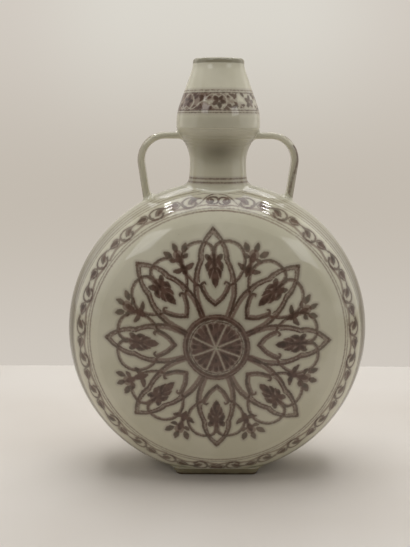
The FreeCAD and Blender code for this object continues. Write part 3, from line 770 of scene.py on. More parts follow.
@dataclass(frozen=True)
class Glaze:
    """Transparent glaze over porcelain, with painting under it where the piece carries painted attributes.

    The clay was dipped in a feldspar glaze with a trace of iron and fired with little air: the coat is greenish
    grey, a little greener where it ran thick and paler where it drew thin, and glossy with a soft unevenness. The
    painting was brushed on the raw clay in copper pigment, so that it lies under the gloss, dark where the brush
    left most, mauve and bleeding at its edges where it left least.
    """
    name: str = "celadon_glaze_on_porcelain"
    thin: str = "dad5c0"
    thick: str = "d0cbb4"
    # tone of glaze that ran thick, also used for painted shade
    pool_and_shade_tone: str = "716a52"
    fleck: str = "938d78"
    pigment_dark: str = "38271c"
    pigment_thin: str = "654c41"
    pigment_wash: str = "785f53"
    roughness: float = 0.055
    runs_size: float = 34.0
    fleck_size: float = 1.1
    bleed_size: float = 1.6
    bleed_reach: float = 1.1
    patch_size: float = 5.0
    skin_size: float = 9.0
    skin_depth: float = 0.6
    gloss_size: float = 14.0
    painted: bool = False

    def body_colour(self, tree: Tree, place: Socket) -> Socket:
        """Shade the bare glaze: thick and thin runs, with fine iron flecks.

        Args:
            tree: the node tree.
            place: the object coordinates.

        Returns:
            The bare colour.
        """
        runs = add(tree, Kind.RAMP, add(tree, Kind.NOISE, place, per_mm(self.runs_size), 3), 0.35, 0.65)
        colour = add(tree, Kind.MIX, runs, linear(self.thin), linear(self.thick))
        flecks = add(tree, Kind.RAMP, add(tree, Kind.NOISE, place, per_mm(self.fleck_size), 1), 0.72, 0.8, 0.0, 0.35)
        return add(tree, Kind.MIX, flecks, colour, linear(self.fleck))

    def painted_colour(self, tree: Tree, place: Socket, colour: Socket) -> Socket:
        """Lay the darker ground of thick glaze and painted shade, the wash and the ink, all read from the piece's
        attributes, over the glaze's colour.

        Args:
            tree: the node tree.
            place: the object coordinates.
            colour: the bare glaze.

        Returns:
            The painted colour.
        """
        names = ("ink", "wash", "load", "pool_and_shade")
        ink, wash, load, pool_and_shade = (add(tree, Kind.FIELD, attribute_name=name) for name in names)
        dark, thin, pale = (linear(code) for code in (self.pigment_dark, self.pigment_thin, self.pigment_wash))
        # darken the ground: thick glaze, and painted shade where the piece carries it
        colour = add(tree, Kind.MIX, pool_and_shade, colour, linear(self.pool_and_shade_tone))
        blots = add(tree, Kind.NOISE, place, per_mm(self.bleed_size), 3)
        stray = add(tree, Kind.MATH, blots, 0.5, operation="SUBTRACT")
        bleed = add(tree, Kind.MATH, stray, self.bleed_reach, operation="MULTIPLY")
        ink_edge = add(tree, Kind.MATH, ink, bleed, operation="ADD")
        wash_edge = add(tree, Kind.MATH, wash, bleed, operation="ADD")
        thinned = add(tree, Kind.RAMP, add(tree, Kind.NOISE, place, per_mm(self.patch_size), 4), 0.36, 0.66)
        shallow = add(tree, Kind.MATH, add(tree, Kind.RAMP, ink, -1.5, 0.0), 0.5, operation="MULTIPLY")
        pigment = add(tree, Kind.MIX, shallow, add(tree, Kind.MIX, thinned, dark, thin), thin)
        halo = add(tree, Kind.MIX, add(tree, Kind.RAMP, ink, 2.4, 0.0, 0.0, 0.3), colour, pale)
        washed = add(tree, Kind.RAMP, wash_edge, 0.7, -0.5, 0.0, 0.86)
        inked = add(tree, Kind.RAMP, ink_edge, 0.45, -0.4, 0.0, 0.95)
        ground = add(tree, Kind.MIX, add(tree, Kind.MATH, washed, load, operation="MULTIPLY"), halo, pale)
        return add(tree, Kind.MIX, add(tree, Kind.MATH, inked, load, operation="MULTIPLY"), ground, pigment)

    def material(self) -> Material:
        """Build the material.

        Returns:
            The material.
        """
        material, tree = blank(self.name)
        place = add(tree, Kind.PLACE)
        colour = self.body_colour(tree, place)
        if self.painted:
            colour = self.painted_colour(tree, place, colour)
        swells = add(tree, Kind.NOISE, place, per_mm(self.skin_size), 2)
        skin = add(tree, Kind.BUMP, 0.12, self.skin_depth * MM, swells)
        uneven = add(tree, Kind.RAMP, add(tree, Kind.NOISE, place, per_mm(self.gloss_size), 3), 0.3, 0.7,
                     self.roughness - 0.03, self.roughness + 0.05)
        finish_with(tree, add(tree, Kind.COAT, colour, uneven, skin))
        return material


@dataclass(frozen=True)
class FootBiscuit:
    """The foot: glaze that ran down its sides, and bare clay burnt brown along the edge that it stands on.

    The potter wiped the standing edge clean, so that the pot would not stick in the kiln. There the iron in the
    clay took the fire's colour, dull and brown, and above it the glaze ends in a thick, darker roll.
    """
    name: str = "wiped_foot_porcelain"
    bare: str = "5f4a30"
    glazed: str = "8b8366"
    run: str = "9a9274"
    wiped_height: float = 1.6
    edge_blur: float = 0.5
    wave_size: float = 4.0
    wave_height: float = 2.4
    grain_size: float = 0.8
    runs_size: float = 12.0
    skin_size: float = 0.7
    skin_depth: float = 0.3

    def material(self) -> Material:
        """Build the material.

        Returns:
            The material.
        """
        material, tree = blank(self.name)
        place = add(tree, Kind.PLACE)
        noise = add(tree, Kind.NOISE, place, per_mm(self.wave_size), 3)
        waves = add(tree, Kind.MATH, noise, 0.5, operation="SUBTRACT")
        stray = add(tree, Kind.MATH, waves, self.wave_height * MM, operation="MULTIPLY")
        edge = add(tree, Kind.MATH, add(tree, Kind.SPLIT, place), stray, operation="ADD")
        low, high = ((self.wiped_height + part) * MM for part in (-self.edge_blur, self.edge_blur))
        covered = add(tree, Kind.RAMP, edge, low, high)
        grain = add(tree, Kind.RAMP, add(tree, Kind.NOISE, place, per_mm(self.grain_size), 3), 0.3, 0.7, 0.75, 1.0)
        clay = add(tree, Kind.MIX, 1.0, linear(self.bare), grain, blend_type="MULTIPLY")
        runs = add(tree, Kind.RAMP, add(tree, Kind.NOISE, place, per_mm(self.runs_size), 2), 0.3, 0.7)
        glazed = add(tree, Kind.MIX, runs, linear(self.glazed), linear(self.run))
        rough = add(tree, Kind.RAMP, covered, 0.0, 1.0, 0.75, 0.16)
        pits = add(tree, Kind.NOISE, place, per_mm(self.skin_size), 3)
        skin = add(tree, Kind.BUMP, 0.25, self.skin_depth * MM, pits)
        finish_with(tree, add(tree, Kind.COAT, add(tree, Kind.MIX, covered, clay, glazed), rough, skin))
        return material


@dataclass(frozen=True)
class TableTop:
    """Matt painted table: rolled on evenly, so that it takes the shadow softly and shows hardly any grain."""
    name: str = "matt_painted_table"
    tone: str = "dcd6ce"
    worn: str = "d6cfc6"
    roughness: float = 0.8
    sheen: float = 0.15
    patch_size: float = 160.0

    def material(self) -> Material:
        """Build the material.

        Returns:
            The material.
        """
        material, tree = blank(self.name)
        noise = add(tree, Kind.NOISE, add(tree, Kind.PLACE), per_mm(self.patch_size), 2)
        patches = add(tree, Kind.RAMP, noise, 0.3, 0.7)
        colour = add(tree, Kind.MIX, patches, linear(self.tone), linear(self.worn))
        finish_with(tree, add(tree, Kind.MATT, colour, self.roughness, self.sheen))
        return material


@dataclass(frozen=True)
class Backdrop:
    """Backdrop paper out of the lamps' reach: camera and glossy rays see it glow with a painted light falloff, paler
    towards the top, and other rays light it as paper.
    """
    name: str = "backdrop_paper"
    low: str = "cfc8bf"
    middle: str = "c3bbb0"
    high: str = "dad6cd"
    corner: str = "d1cac1"

    def material(self) -> Material:
        """Build the material; the ramps run over metres of the sheet.

        Returns:
            The material.
        """
        material, tree = blank(self.name)
        place = add(tree, Kind.PLACE)
        height = add(tree, Kind.SPLIT, place)
        aside = add(tree, Kind.MATH, add(tree, Kind.SPLIT, place, output="X"), operation="ABSOLUTE")
        # painted light falloff: darker across the middle, paler at the top, dimmer towards the top's sides
        lower = add(tree, Kind.MIX, add(tree, Kind.RAMP, height, -0.3, 0.1), linear(self.low), linear(self.middle))
        upper = add(tree, Kind.MIX, add(tree, Kind.RAMP, aside, 0.15, 0.46), linear(self.high), linear(self.corner))
        tone = add(tree, Kind.MIX, add(tree, Kind.RAMP, height, 0.1, 0.52), lower, upper)
        glossy = add(tree, Kind.PATH, output="Is Glossy Ray")
        seen = add(tree, Kind.MATH, add(tree, Kind.PATH), glossy, operation="ADD")
        paper, shown = add(tree, Kind.PAPER, tone), add(tree, Kind.GLOW, tone, 1.0)
        finish_with(tree, add(tree, Kind.CHOICE, seen, paper, shown))
        return material


# ---------------------------------------------------------------------------------------------- the flask

def unpainted(paint: Paint, shape: tuple[int, ...]) -> Paint:
    """Add rows of points that carry no painting, for the inside of a piece."""
    return {name: np.concatenate([values, np.full(shape, bare(name))]) for name, values in paint.items()}


@dataclass
class MoonBody:
    """The two moulded halves of the body, their painting and the slip ring between them.

    A half's section starts at the pole of a large dome arc, runs tangent into a round rim arc and ends at the slip
    in the middle plane. It turns about Y. A flat base is cut off below, and the neck's hole is cut out above.
    """
    radius: float = 109.7
    rim_arc: float = 44.0
    half_depth: float = 56.0
    wall: float = 5.0
    centre_height: float = 104.4
    base_height: float = 7.0
    half_slip: float = 0.4
    neck_hole: float = 17.2
    face_edge: float = 84.0
    bare_edge: float = 0.6
    face_around: int = 800
    face_rings: int = 104
    rim_around: int = 810
    rim_rings: int = 94
    medallion: Medallion = field(default_factory=Medallion)
    border: ScrollBorder = field(default_factory=ScrollBorder)

    @property
    def rim_centre(self) -> float:
        """Distance of the rim arc's centre from the axis of the faces."""
        return self.radius - self.rim_arc

    @property
    def dome(self) -> float:
        """Radius of the dome arc that meets the rim arc without a kink."""
        depth, arc = self.half_depth, self.rim_arc
        return (self.rim_centre ** 2 + depth ** 2 - arc ** 2) / (2 * (depth - arc))

    def top(self, x: Array, y: Array) -> Array:
        """Height of the upper surface: a circle about the centre, as wide as the rim's arc reaches at that depth."""
        edge = self.rim_centre + leg(self.rim_arc, y)
        return self.centre_height + leg(edge, x)

    def top_normal(self, points: Array) -> Array:
        """Find the rim's unit normals: away from the nearest point of the circle of the arc's centres.

        Args:
            points: points on the rim, one row each.

        Returns:
            The normals.
        """
        away = np.hypot(points[:, 0], points[:, 2] - self.centre_height)[:, None]
        radial = (points - [0, 0, self.centre_height]) * [1, 0, 1] / away
        return unit(points - radial * self.rim_centre - [0, 0, self.centre_height])

    def dome_section(self, r: Array) -> tuple[Array, Array, Array]:
        """Find a face's depth and normal: on the dome arc inside its joint with the rim arc, and on that outside.

        Args:
            r: radii.

        Returns:
            Depth from the middle plane, and the normal's radial and outward parts.
        """
        joint = self.dome * math.sin(math.atan2(self.rim_centre, self.dome - self.half_depth))
        on_dome = r < joint
        normal_r = np.where(on_dome, r / self.dome, (r - self.rim_centre) / self.rim_arc)
        normal_t = np.sqrt(1 - normal_r ** 2)
        depth = np.where(on_dome, self.dome * normal_t - (self.dome - self.half_depth), self.rim_arc * normal_t)
        return depth, normal_r, normal_t

    def place(self, r: Array, theta: Array, depth: Array, face: Face) -> Array:
        """Put polar places on a face into the frame; theta runs from the top to the viewer's right."""
        x = -face.value * r * np.sin(theta)
        return np.stack([x, face.value * depth, self.centre_height + r * np.cos(theta)], axis=-1)

    def swell(self, points: Array, face: Face) -> None:
        """Move points by the slow swellings of a hand-pressed wall, under a third of a millimetre, in crossed waves.

        Args:
            points: the points, changed in place.
            face: the face that they belong to.
        """
        x, y, z = points[..., 0], np.abs(points[..., 1]), points[..., 2]
        waves = 0.16 * np.sin(x / 15 + 0.7) * np.sin(z / 18) + 0.12 * np.sin(x / 29 - z / 23 + 1.3)
        points[..., 1] += face.value * rise(y, 14, 28) ** 2 * waves

    def face_piece(self, face: Face, finish: Material) -> None:
        """Build the domed middle of one half: rings of growing radius outside, and fewer, one wall deeper, inside.

        Args:
            face: which half.
            finish: the painted glaze.
        """
        theta = np.linspace(-math.pi, math.pi, self.face_around, endpoint=False)[None, :]
        r_out = np.linspace(0, self.face_edge, self.face_rings + 1)[1:, None]
        r_in = np.linspace(self.face_edge, 0, 9)[:-1, None]
        rings = []
        for r, inset in ((r_out, 0.0), (r_in, self.wall)):
            depth, normal_r, normal_t = self.dome_section(r)
            rings.append(self.place(r - inset * normal_r, theta, depth - inset * normal_t + 0 * theta, face))
        outside, inside = rings
        self.swell(outside, face)
        paint = unpainted(self.medallion.fields(-face.value * outside[..., 0], outside[..., 2]), inside.shape[:2])
        poles = np.array([[0, face.value * depth, self.centre_height]
                          for depth in (self.half_depth, self.half_depth - self.wall)])
        side = face.name.lower()
        make_piece(f"{side}_face", np.concatenate(rings), poles, f"{side}_shell", finish, paint)

    def base_cut(self, theta: Array, inset: float) -> Array:
        """Find the radius at which the flat base cuts off the rim, far out where it doesn't.

        Args:
            theta: angles round the face from the top.
            inset: how far the surface lies inside the outer one.

        Returns:
            The radii.
        """
        below, least, far = -np.cos(theta), 0.2, 1e3
        flat = self.centre_height - self.base_height - inset
        return np.where(below > least, flat / np.maximum(below, least), far)

    def rim_ring(self, theta: Array, inset: float, counts: tuple[int, int]) -> tuple[Array, Array, Array]:
        """Lay out the rim of one half as turns of its arc, from the face's edge to the slip or the neck's hole.

        The last few rings start on the edge of the flat base, where the rim is cut off, so that it stays crisp.

        Args:
            theta: angles round the face from the top.
            inset: how far the surface lies inside the outer one.
            counts: rings up to that edge, and from it on.

        Returns:
            The turn of the arc, the radius and the depth, each (rings, around).
        """
        arc = self.rim_arc - inset
        start = math.acos((self.face_edge - self.rim_centre) / self.rim_arc)
        cap = self.base_cut(theta, inset)
        x = (self.radius - inset) * np.sin(theta)
        hole = self.neck_hole + 0.2 * inset
        open_depth = np.where(np.cos(theta) > 0, leg(hole, x), 0)
        end = np.arcsin(np.maximum(open_depth, self.half_slip) / arc)
        edge = np.arccos(np.clip((cap - self.rim_centre) / arc, -1, 1))
        edge = np.maximum(edge, end + math.radians(1.0))
        turn = np.concatenate([spread(start + 0 * theta, edge, counts[0])[:-1], spread(edge, end, counts[1])])
        return turn, np.minimum(self.rim_centre + arc * np.cos(turn), cap), arc * np.sin(turn)

    def rim_piece(self, face: Face, finish: Material) -> None:
        """Build the round rim of one half, outer and inner surface in one closed loop of rings.

        Args:
            face: which half.
            finish: the painted glaze.
        """
        theta = np.linspace(-math.pi, math.pi, self.rim_around, endpoint=False)
        turn, r, depth = self.rim_ring(theta, 0.0, (self.rim_rings, 7))
        outside = self.place(r, theta, depth, face)
        self.swell(outside, face)
        _, inner_r, inner_depth = self.rim_ring(theta, self.wall, (12, 4))
        inside = self.place(inner_r, theta, inner_depth, face)[::-1]
        paint = self.border.fields(theta + 0 * turn, turn)
        off_base = np.minimum(self.base_height + self.bare_edge - outside[..., 2], CLEAR)
        for name in ("ink", "wash"):
            paint[name] = np.maximum(paint[name], off_base)
        side = face.name.lower()
        make_piece(f"{side}_rim", np.concatenate([outside, inside]), None, f"{side}_shell", finish,
                   unpainted(paint, inside.shape[:2]))

    def seam_piece(self, finish: Material) -> None:
        """Build the slip ring between the halves: a flat strip of the wall's section, open at the neck's hole.

        Args:
            finish: the plain glaze.
        """
        gap = math.asin(self.neck_hole / self.radius)
        theta = np.linspace(gap, 2 * math.pi - gap, self.rim_around)
        bands = []
        for inset, depths in ((0.0, (-1, 0, 1)), (self.wall, (1, 0, -1))):
            for share in depths:
                depth = share * self.half_slip
                reach = self.rim_centre + leg(self.rim_arc - inset, depth)
                r = np.minimum(reach, self.base_cut(theta, inset))
                bands.append(self.place(r, theta, depth + 0 * theta, Face.BACK))
        rings = np.stack(bands, axis=1)
        make_piece("body_seam", rings, rings[[0, -1]].mean(axis=1), "body_luting", finish)

    def build(self, painted: Material, plain: Material) -> None:
        """Build both halves and the slip between them.

        Args:
            painted: the glaze over the painting.
            plain: the glaze alone.
        """
        for face in Face:
            self.face_piece(face, painted)
            self.rim_piece(face, painted)
        self.seam_piece(plain)


@dataclass
class Neck:
    """The thrown neck: a skirt arc, a waist, a flare and a crest, with the slip round its foot and on its crest.

    Its painted shades, under the bulb's overhang and where the straps leave it, are rows: how dark, at which angle
    from the front and how wide, at which height and how high. Its finger marks are rows of depth and pitch.
    """
    body: MoonBody
    waist_radius: float = 20.25
    waist_height: float = 227.5
    crest_radius: float = 29.6
    crest_height: float = 250.9
    skirt_arc: float = 90.0
    flare_arc: float = 26.35
    crest_arc: float = 24.0
    wall: float = 4.0
    slip: float = 0.8
    crease: float = 0.25
    collar_radius: float = 6.0
    line_heights: tuple[float, ...] = (216.6, 213.9)
    ink_width: float = 0.45
    wash_width: float = 1.15
    line_load: float = 0.6
    painted_shades: tuple[tuple[float, ...], ...] = (
        (0.56, 0.0, 0.7, 234.0, 8.0), (0.46, 0.0, 1.4, 241.0, 11.0), (0.4, 1.4, 0.35, 243.0, 5.0))
    finger_marks: Lines = ((0.16, 2.3), (0.08, 1.5))
    marks_start: tuple[float, float] = (236.0, 241.0)
    marks_end: tuple[float, float] = (0.7, 2.2)
    around: int = 360

    @property
    def phi(self) -> Array:
        """Angles round the neck's axis."""
        return np.linspace(0, 2 * math.pi, self.around, endpoint=False)

    def radius_at(self, z: Array, inset: float = 0.0) -> Array:
        """Find the neck's radius at a height: one of three arcs, each tangent to the next.

        The crest arc's centre lies both arcs' radii from the flare's centre and its own radius from the crest.

        Args:
            z: heights.
            inset: how far the surface lies inside the outer one.

        Returns:
            The radii.
        """
        skirt, flare, crest = self.skirt_arc + inset, self.flare_arc + inset, self.crest_arc - inset
        waist = self.waist_radius - inset
        hub = np.array([waist + flare, self.waist_height])
        away = np.array([self.crest_radius - inset, self.crest_height]) - hub
        span = np.linalg.norm(away)
        along = (span ** 2 + (flare + crest) ** 2 - crest ** 2) / (2 * span ** 2)
        aside = math.sqrt((flare + crest) ** 2 / span ** 2 - along ** 2)
        crest_hub = hub + along * away + aside * np.array([-away[1], away[0]])
        joint = hub + (crest_hub - hub) * flare / (flare + crest)
        low = waist + skirt - leg(skirt, self.waist_height - z)
        middle = hub[0] - leg(flare, z - self.waist_height)
        high = crest_hub[0] + leg(crest, z - crest_hub[1])
        return np.where(z < self.waist_height, low, np.where(z < joint[1], middle, high))

    def saddle(self, inset: float) -> Array:
        """Find the height at which the neck meets the body: the body's top at the neck's own radius, by repeating.

        Args:
            inset: how far the surface lies inside the outer one.

        Returns:
            The heights, one for each angle.
        """
        z = np.full(self.around, self.waist_height - 15)
        for _ in range(12):
            r = self.radius_at(z, inset)
            z = self.body.top(r * np.cos(self.phi), r * np.sin(self.phi))
        return z

    def lines(self, z: Array) -> Paint:
        """Paint the two ring lines round the neck's foot.

        Args:
            z: heights.

        Returns:
            Ink, wash and load, by attribute name.
        """
        paint = {name: np.minimum(ring_lines(z, *((height, width) for height in self.line_heights)), CLEAR)
                 for name, width in (("ink", self.ink_width), ("wash", self.wash_width))}
        return {**paint, "load": np.full(z.shape, self.line_load)}

    def stem_piece(self, finish: Material) -> None:
        """Build the neck: rings from the saddle up the outside, with finger marks, and down the inside.

        Args:
            finish: the painted glaze.
        """
        top = np.full(self.around, self.crest_height)
        z_out, z_in = spread(self.saddle(0.0), top, 92), spread(top, self.saddle(self.wall), 24)
        marks = sum(depth * np.sin(z_out * 2 * math.pi / pitch) for depth, pitch in self.finger_marks)
        marks *= rise(z_out, *self.marks_start) * rise(self.crest_height - z_out, *self.marks_end)
        r = np.concatenate([self.radius_at(z_out) + marks, self.radius_at(z_in, self.wall)])
        aside = np.abs(from_front(self.phi))
        paint = self.lines(z_out)
        # painted shade on the neck: darker under the bulb's overhang and beside the straps' roots
        paint["pool_and_shade"] = sum(dark * bell(aside, angle, wide) * bell(z_out, height, high)
                            for dark, angle, wide, height, high in self.painted_shades)
        make_piece("neck", turned(r, self.phi, np.concatenate([z_out, z_in])), None, "neck_stem",
                   finish, unpainted(paint, z_in.shape))

    def collar_piece(self, finish: Material) -> None:
        """Build the fillet of slip round the neck's foot, from the neck's wall out onto the shoulder.

        Args:
            finish: the painted glaze.
        """
        step = 0.5
        z = self.saddle(0.0)
        corner, above = (turned(self.radius_at(height), self.phi, height) for height in (z, z + step))
        ground = in_surface(corner * [1, 1, 0], self.body.top_normal(corner))
        rings = fillet_rings(corner, unit(above - corner), ground, self.collar_radius, 12, self.body.top)
        make_piece("neck_collar", rings, None, "neck_luting", finish, self.lines(rings[..., 2]), 70)

    def crest_slip_piece(self, finish: Material) -> None:
        """Build the slip ring on the crest: a flat ring with a shallow groove round it, so that a crease shows.

        Args:
            finish: the plain glaze.
        """
        outer, inner = self.crest_radius, self.crest_radius - self.wall
        low, high = self.crest_height, self.crest_height + self.slip
        groove = (outer - self.crease, (low + high) / 2)
        section = np.array([(outer, low), groove, (outer, high), (inner, high), (inner, low)])
        rings = turned(section[:, :1], self.phi[None, :], section[:, 1:])
        make_piece("bulb_crease", rings, None, "bulb_luting", finish)

    def build(self, painted: Material, plain: Material) -> None:
        """Build the neck and its slip.

        Args:
            painted: the glaze over the painting.
            plain: the glaze alone.
        """
        self.stem_piece(painted)
        self.collar_piece(painted)
        self.crest_slip_piece(plain)


@dataclass
class MouthBulb:
    """The bulb-shaped mouth: an upright belly, a cone between two arcs, a rounded lip and a bore that opens inside."""
    radius: float = 29.9
    seat_height: float = 251.7
    seat_bevel: tuple[float, float] = (0.3, 0.4)
    belly_height: float = 256.0
    belly_arc: float = 34.03
    throat_arc: float = 16.0
    lip_radius: float = 18.2
    lip_height: float = 297.0
    lip_land: float = 0.7
    bore_radius: float = 13.6
    bore_low: float = 288.0
    wall: float = 4.0
    around: int = 480
    painted_lip_rings: int = 12
    band: FlowerBand = field(default_factory=FlowerBand)

    def outer_section(self) -> Array:
        """Draw the outside from the seat to the lip: bevel, belly arc, cone tangent to both arcs, throat arc.

        The cone's direction follows from the line between the arcs' centres and the sum of their radii.

        Returns:
            Rows of radius and height.
        """
        low = np.array([self.radius - self.belly_arc, self.belly_height])
        high = np.array([self.lip_radius + self.throat_arc, self.lip_height])
        across = high - low
        opening = math.acos((self.belly_arc + self.throat_arc) / np.linalg.norm(across))
        turn = np.linspace(0, math.atan2(across[1], across[0]) - opening, 22)
        arc = circle(turn)
        belly, throat = low + self.belly_arc * arc, high - self.throat_arc * arc[::-1]
        inward, upward = self.seat_bevel
        seat = spread(np.array([self.radius - inward, self.seat_height]),
                      np.array([self.radius, self.seat_height + upward]), 3)
        return np.concatenate([seat, belly, spread(belly[-1], throat[0], 14)[1:-1], throat])

    def inner_section(self) -> Array:
        """Draw the inside from the lip down: a half circle over the lip, the straight bore and the opening cone.

        Returns:
            Rows of radius and height.
        """
        half = (self.lip_radius - self.bore_radius) / 2
        turn = np.linspace(0, math.pi, 15)
        centre = np.array([self.bore_radius + half, self.lip_height + self.lip_land])
        lip = centre + half * circle(turn)
        inner = self.radius - self.wall
        bore = spread(lip[-1], np.array([self.bore_radius, self.bore_low]), 6)[1:]
        cone = spread(bore[-1], np.array([inner, self.belly_height]), 8)[1:]
        return np.concatenate([lip, bore, cone, [(inner, self.seat_height)]])

    def build(self, painted: Material) -> None:
        """Build the bulb: its section turned about the neck's axis.

        Args:
            painted: the glaze over the painting.
        """
        fine = spline(self.outer_section(), 3)
        section = np.concatenate([fine, self.inner_section()])
        phi = np.linspace(-math.pi, math.pi, self.around, endpoint=False) - math.pi / 2
        r, z = section[:, :1], section[:, 1:]
        front = from_front(phi)
        paint = self.band.fields(front + 0 * z, z + 0 * front)
        hidden = np.arange(len(section))[:, None] >= len(fine) + self.painted_lip_rings
        paint = {name: np.where(hidden, bare(name), values) for name, values in paint.items()}
        make_piece("mouth", turned(r, phi, z), None, "mouth_bulb", painted, paint)


@dataclass
class StrapHandle:
    """A strap from the neck to the shoulder: a flat band with round edges, along a level run, a bend and a fall.

    The painter drew a line along its outer edges, and on the right strap a streak of pigment ran down. Where the
    streak's half width is below zero, only a faint trace of it is left.
    """
    side: Side
    body: MoonBody
    neck: Neck
    thickness: float = 5.0
    width: float = 14.0
    level_height: float = 246.6
    bend_x: float = 37.5
    bend_radius: float = 17.6
    lean: float = 0.148
    root_fillet: float = 3.6
    crown_fillet: float = 1.4
    under_fillet: float = 6.0
    edge_line: tuple[float, float] = (1.6, 1.2)
    streak_halves: tuple[float, float] = (-0.6, 0.9)
    streak_inset: float = 0.8
    streak_start: float = 1.7
    streak_drift: float = 2.2
    drift_heights: tuple[float, float] = (232.0, 212.0)
    streak_top: float = 240.0
    streak_x: float = 44.0
    load: float = 0.7

    @property
    def tilt(self) -> float:
        """Angle of the fall from upright."""
        return math.atan(self.lean)

    def section(self) -> tuple[Array, Array, Array, Array]:
        """Go round the band's section: two half circles joined by straight runs.

        Returns:
            Place across the strap and out from its middle line, and the outward direction's same two parts.
        """
        edge = self.thickness / 2
        reach = self.width / 2 - edge
        turn = np.linspace(-math.pi / 2, math.pi / 2, 13)
        run = np.linspace(reach, -reach, 12)[1:-1]
        way_across = np.concatenate([np.cos(turn), 0 * run, -np.cos(turn), 0 * run])
        way_out = np.concatenate([np.sin(turn), 0 * run + 1, -np.sin(turn), 0 * run - 1])
        centres = np.concatenate([np.full(turn.size, reach), run, np.full(turn.size, -reach), -run])
        return centres + edge * way_across, edge * way_out, way_across, way_out

    def placed(self, x: Array, y: Array, z: Array) -> Array:
        """Put points, with x measured outwards from the neck, on this handle's side."""
        return np.stack([self.side.value * x, y + 0 * x, z + 0 * x], axis=-1)

    def rings(self, across: Array, out: Array) -> Array:
        """Carry the section along the strap, from the neck's surface round the bend down to the shoulder's.

        The fall's length is found by repeating: each line is let down by its height over the body's top.

        Args:
            across: places across the strap.
            out: places out from its middle line.

        Returns:
            Array (rings, points, 3).
        """
        sin, cos = math.sin(self.tilt), math.cos(self.tilt)
        level = self.level_height + out
        start = leg(self.neck.radius_at(level), across)
        run = self.placed(spread(start, np.full_like(start, self.bend_x), 10)[:-1], across, level)
        turn = np.linspace(math.pi / 2, -self.tilt, 40)[:, None]
        reach = self.bend_radius + out
        x_bend = self.bend_x + reach * np.cos(turn)
        z_bend = self.level_height - self.bend_radius + reach * np.sin(turn)
        drop = np.full_like(across, 20.0)
        for _ in range(20):
            drop = drop + z_bend[-1] - drop * cos - self.body.top(x_bend[-1] - drop * sin, across)
        share = np.linspace(0, 1, 16)[1:, None] * drop
        fall = self.placed(x_bend[-1] - share * sin, across, z_bend[-1] - share * cos)
        return np.concatenate([run, self.placed(x_bend, across, z_bend), fall])

    def paint(self, rings: Array, across: Array, out: Array) -> Paint:
        """Paint the lines along the strap's outer edges and the streak, which drifts inwards on its way down.

        Args:
            rings: the strap's points.
            across: places across the strap.
            out: places out from its middle line.

        Returns:
            Ink, wash and load, by attribute name.
        """
        shape, z = rings.shape[:2], rings[..., 2]
        inset, wide = self.edge_line
        edges = np.where(out > 0.5, ring_lines(np.abs(across), (self.width / 2 - inset, wide)), CLEAR)
        drift = self.streak_start - self.streak_drift * rise(z, *self.drift_heights)
        half = self.streak_halves[self.side is Side.RIGHT]
        streak = np.hypot(across + self.width / 2 - self.streak_inset, out - drift) - half
        outer = (z < self.streak_top) & (np.abs(rings[..., 0]) > self.streak_x)
        return {"ink": np.where(outer, streak, CLEAR), "wash": np.broadcast_to(edges, shape),
                "load": np.full(shape, self.load)}

    def build(self, painted: Material, plain: Material) -> None:
        """Build the strap and the fillets of slip at its two ends.

        Args:
            painted: the glaze over the painting.
            plain: the glaze alone.
        """
        across, out, _, _ = self.section()
        rings = self.rings(across, out)
        side = self.side.name.lower()
        make_piece(f"{side}_strap", rings, rings[[0, -1]].mean(axis=1), f"{side}_handle", painted,
                   self.paint(rings, across, out), 60)
        for end, slip in (("root", self.root_slip(rings[-1])), ("crown", self.crown_slip(rings[0]))):
            make_piece(f"{side}_strap_{end}_slip", slip, None, f"{side}_handle_luting", plain, crease=70)

    def root_slip(self, corner: Array) -> Array:
        """Lay the fillet where the strap stands on the shoulder.

        Args:
            corner: the strap's last ring.

        Returns:
            The fillet's rings.
        """
        _, _, way_across, way_out = self.section()
        sign, sin, cos = self.side.value, math.sin(self.tilt), math.cos(self.tilt)
        out = np.stack([sign * way_out * cos, way_across, -way_out * sin], axis=-1)
        wall = np.broadcast_to([sign * sin, 0, cos], corner.shape)
        ground = in_surface(out, self.body.top_normal(corner))
        return fillet_rings(corner, wall, ground, self.root_fillet, 8, self.body.top)

    def crown_slip(self, corner: Array) -> Array:
        """Lay the fillet where the strap leaves the neck: tight above, under the crest, and full on the underside.

        Args:
            corner: the strap's first ring.

        Returns:
            The fillet's rings.
        """
        _, _, way_across, way_out = self.section()
        step = 0.2
        x, y, z = corner.T
        slope = (self.neck.radius_at(z + step) - self.neck.radius_at(z - step)) / (2 * step)
        normal = unit(np.column_stack([x, y, -slope * np.hypot(x, y)]))
        ground = in_surface(np.stack([0 * way_out, way_across, way_out], axis=-1), normal)
        wall = np.broadcast_to([float(self.side.value), 0.0, 0.0], corner.shape)
        below = np.clip(-way_out, 0, 1) ** 2
        radius = self.crown_fillet + below * (self.under_fillet - self.crown_fillet)
        rings = fillet_rings(corner, wall, ground, radius, 10)
        away = np.hypot(rings[..., 0], rings[..., 1])
        rings[..., :2] *= np.maximum(1, self.neck.radius_at(rings[..., 2]) / away)[..., None]
        return rings


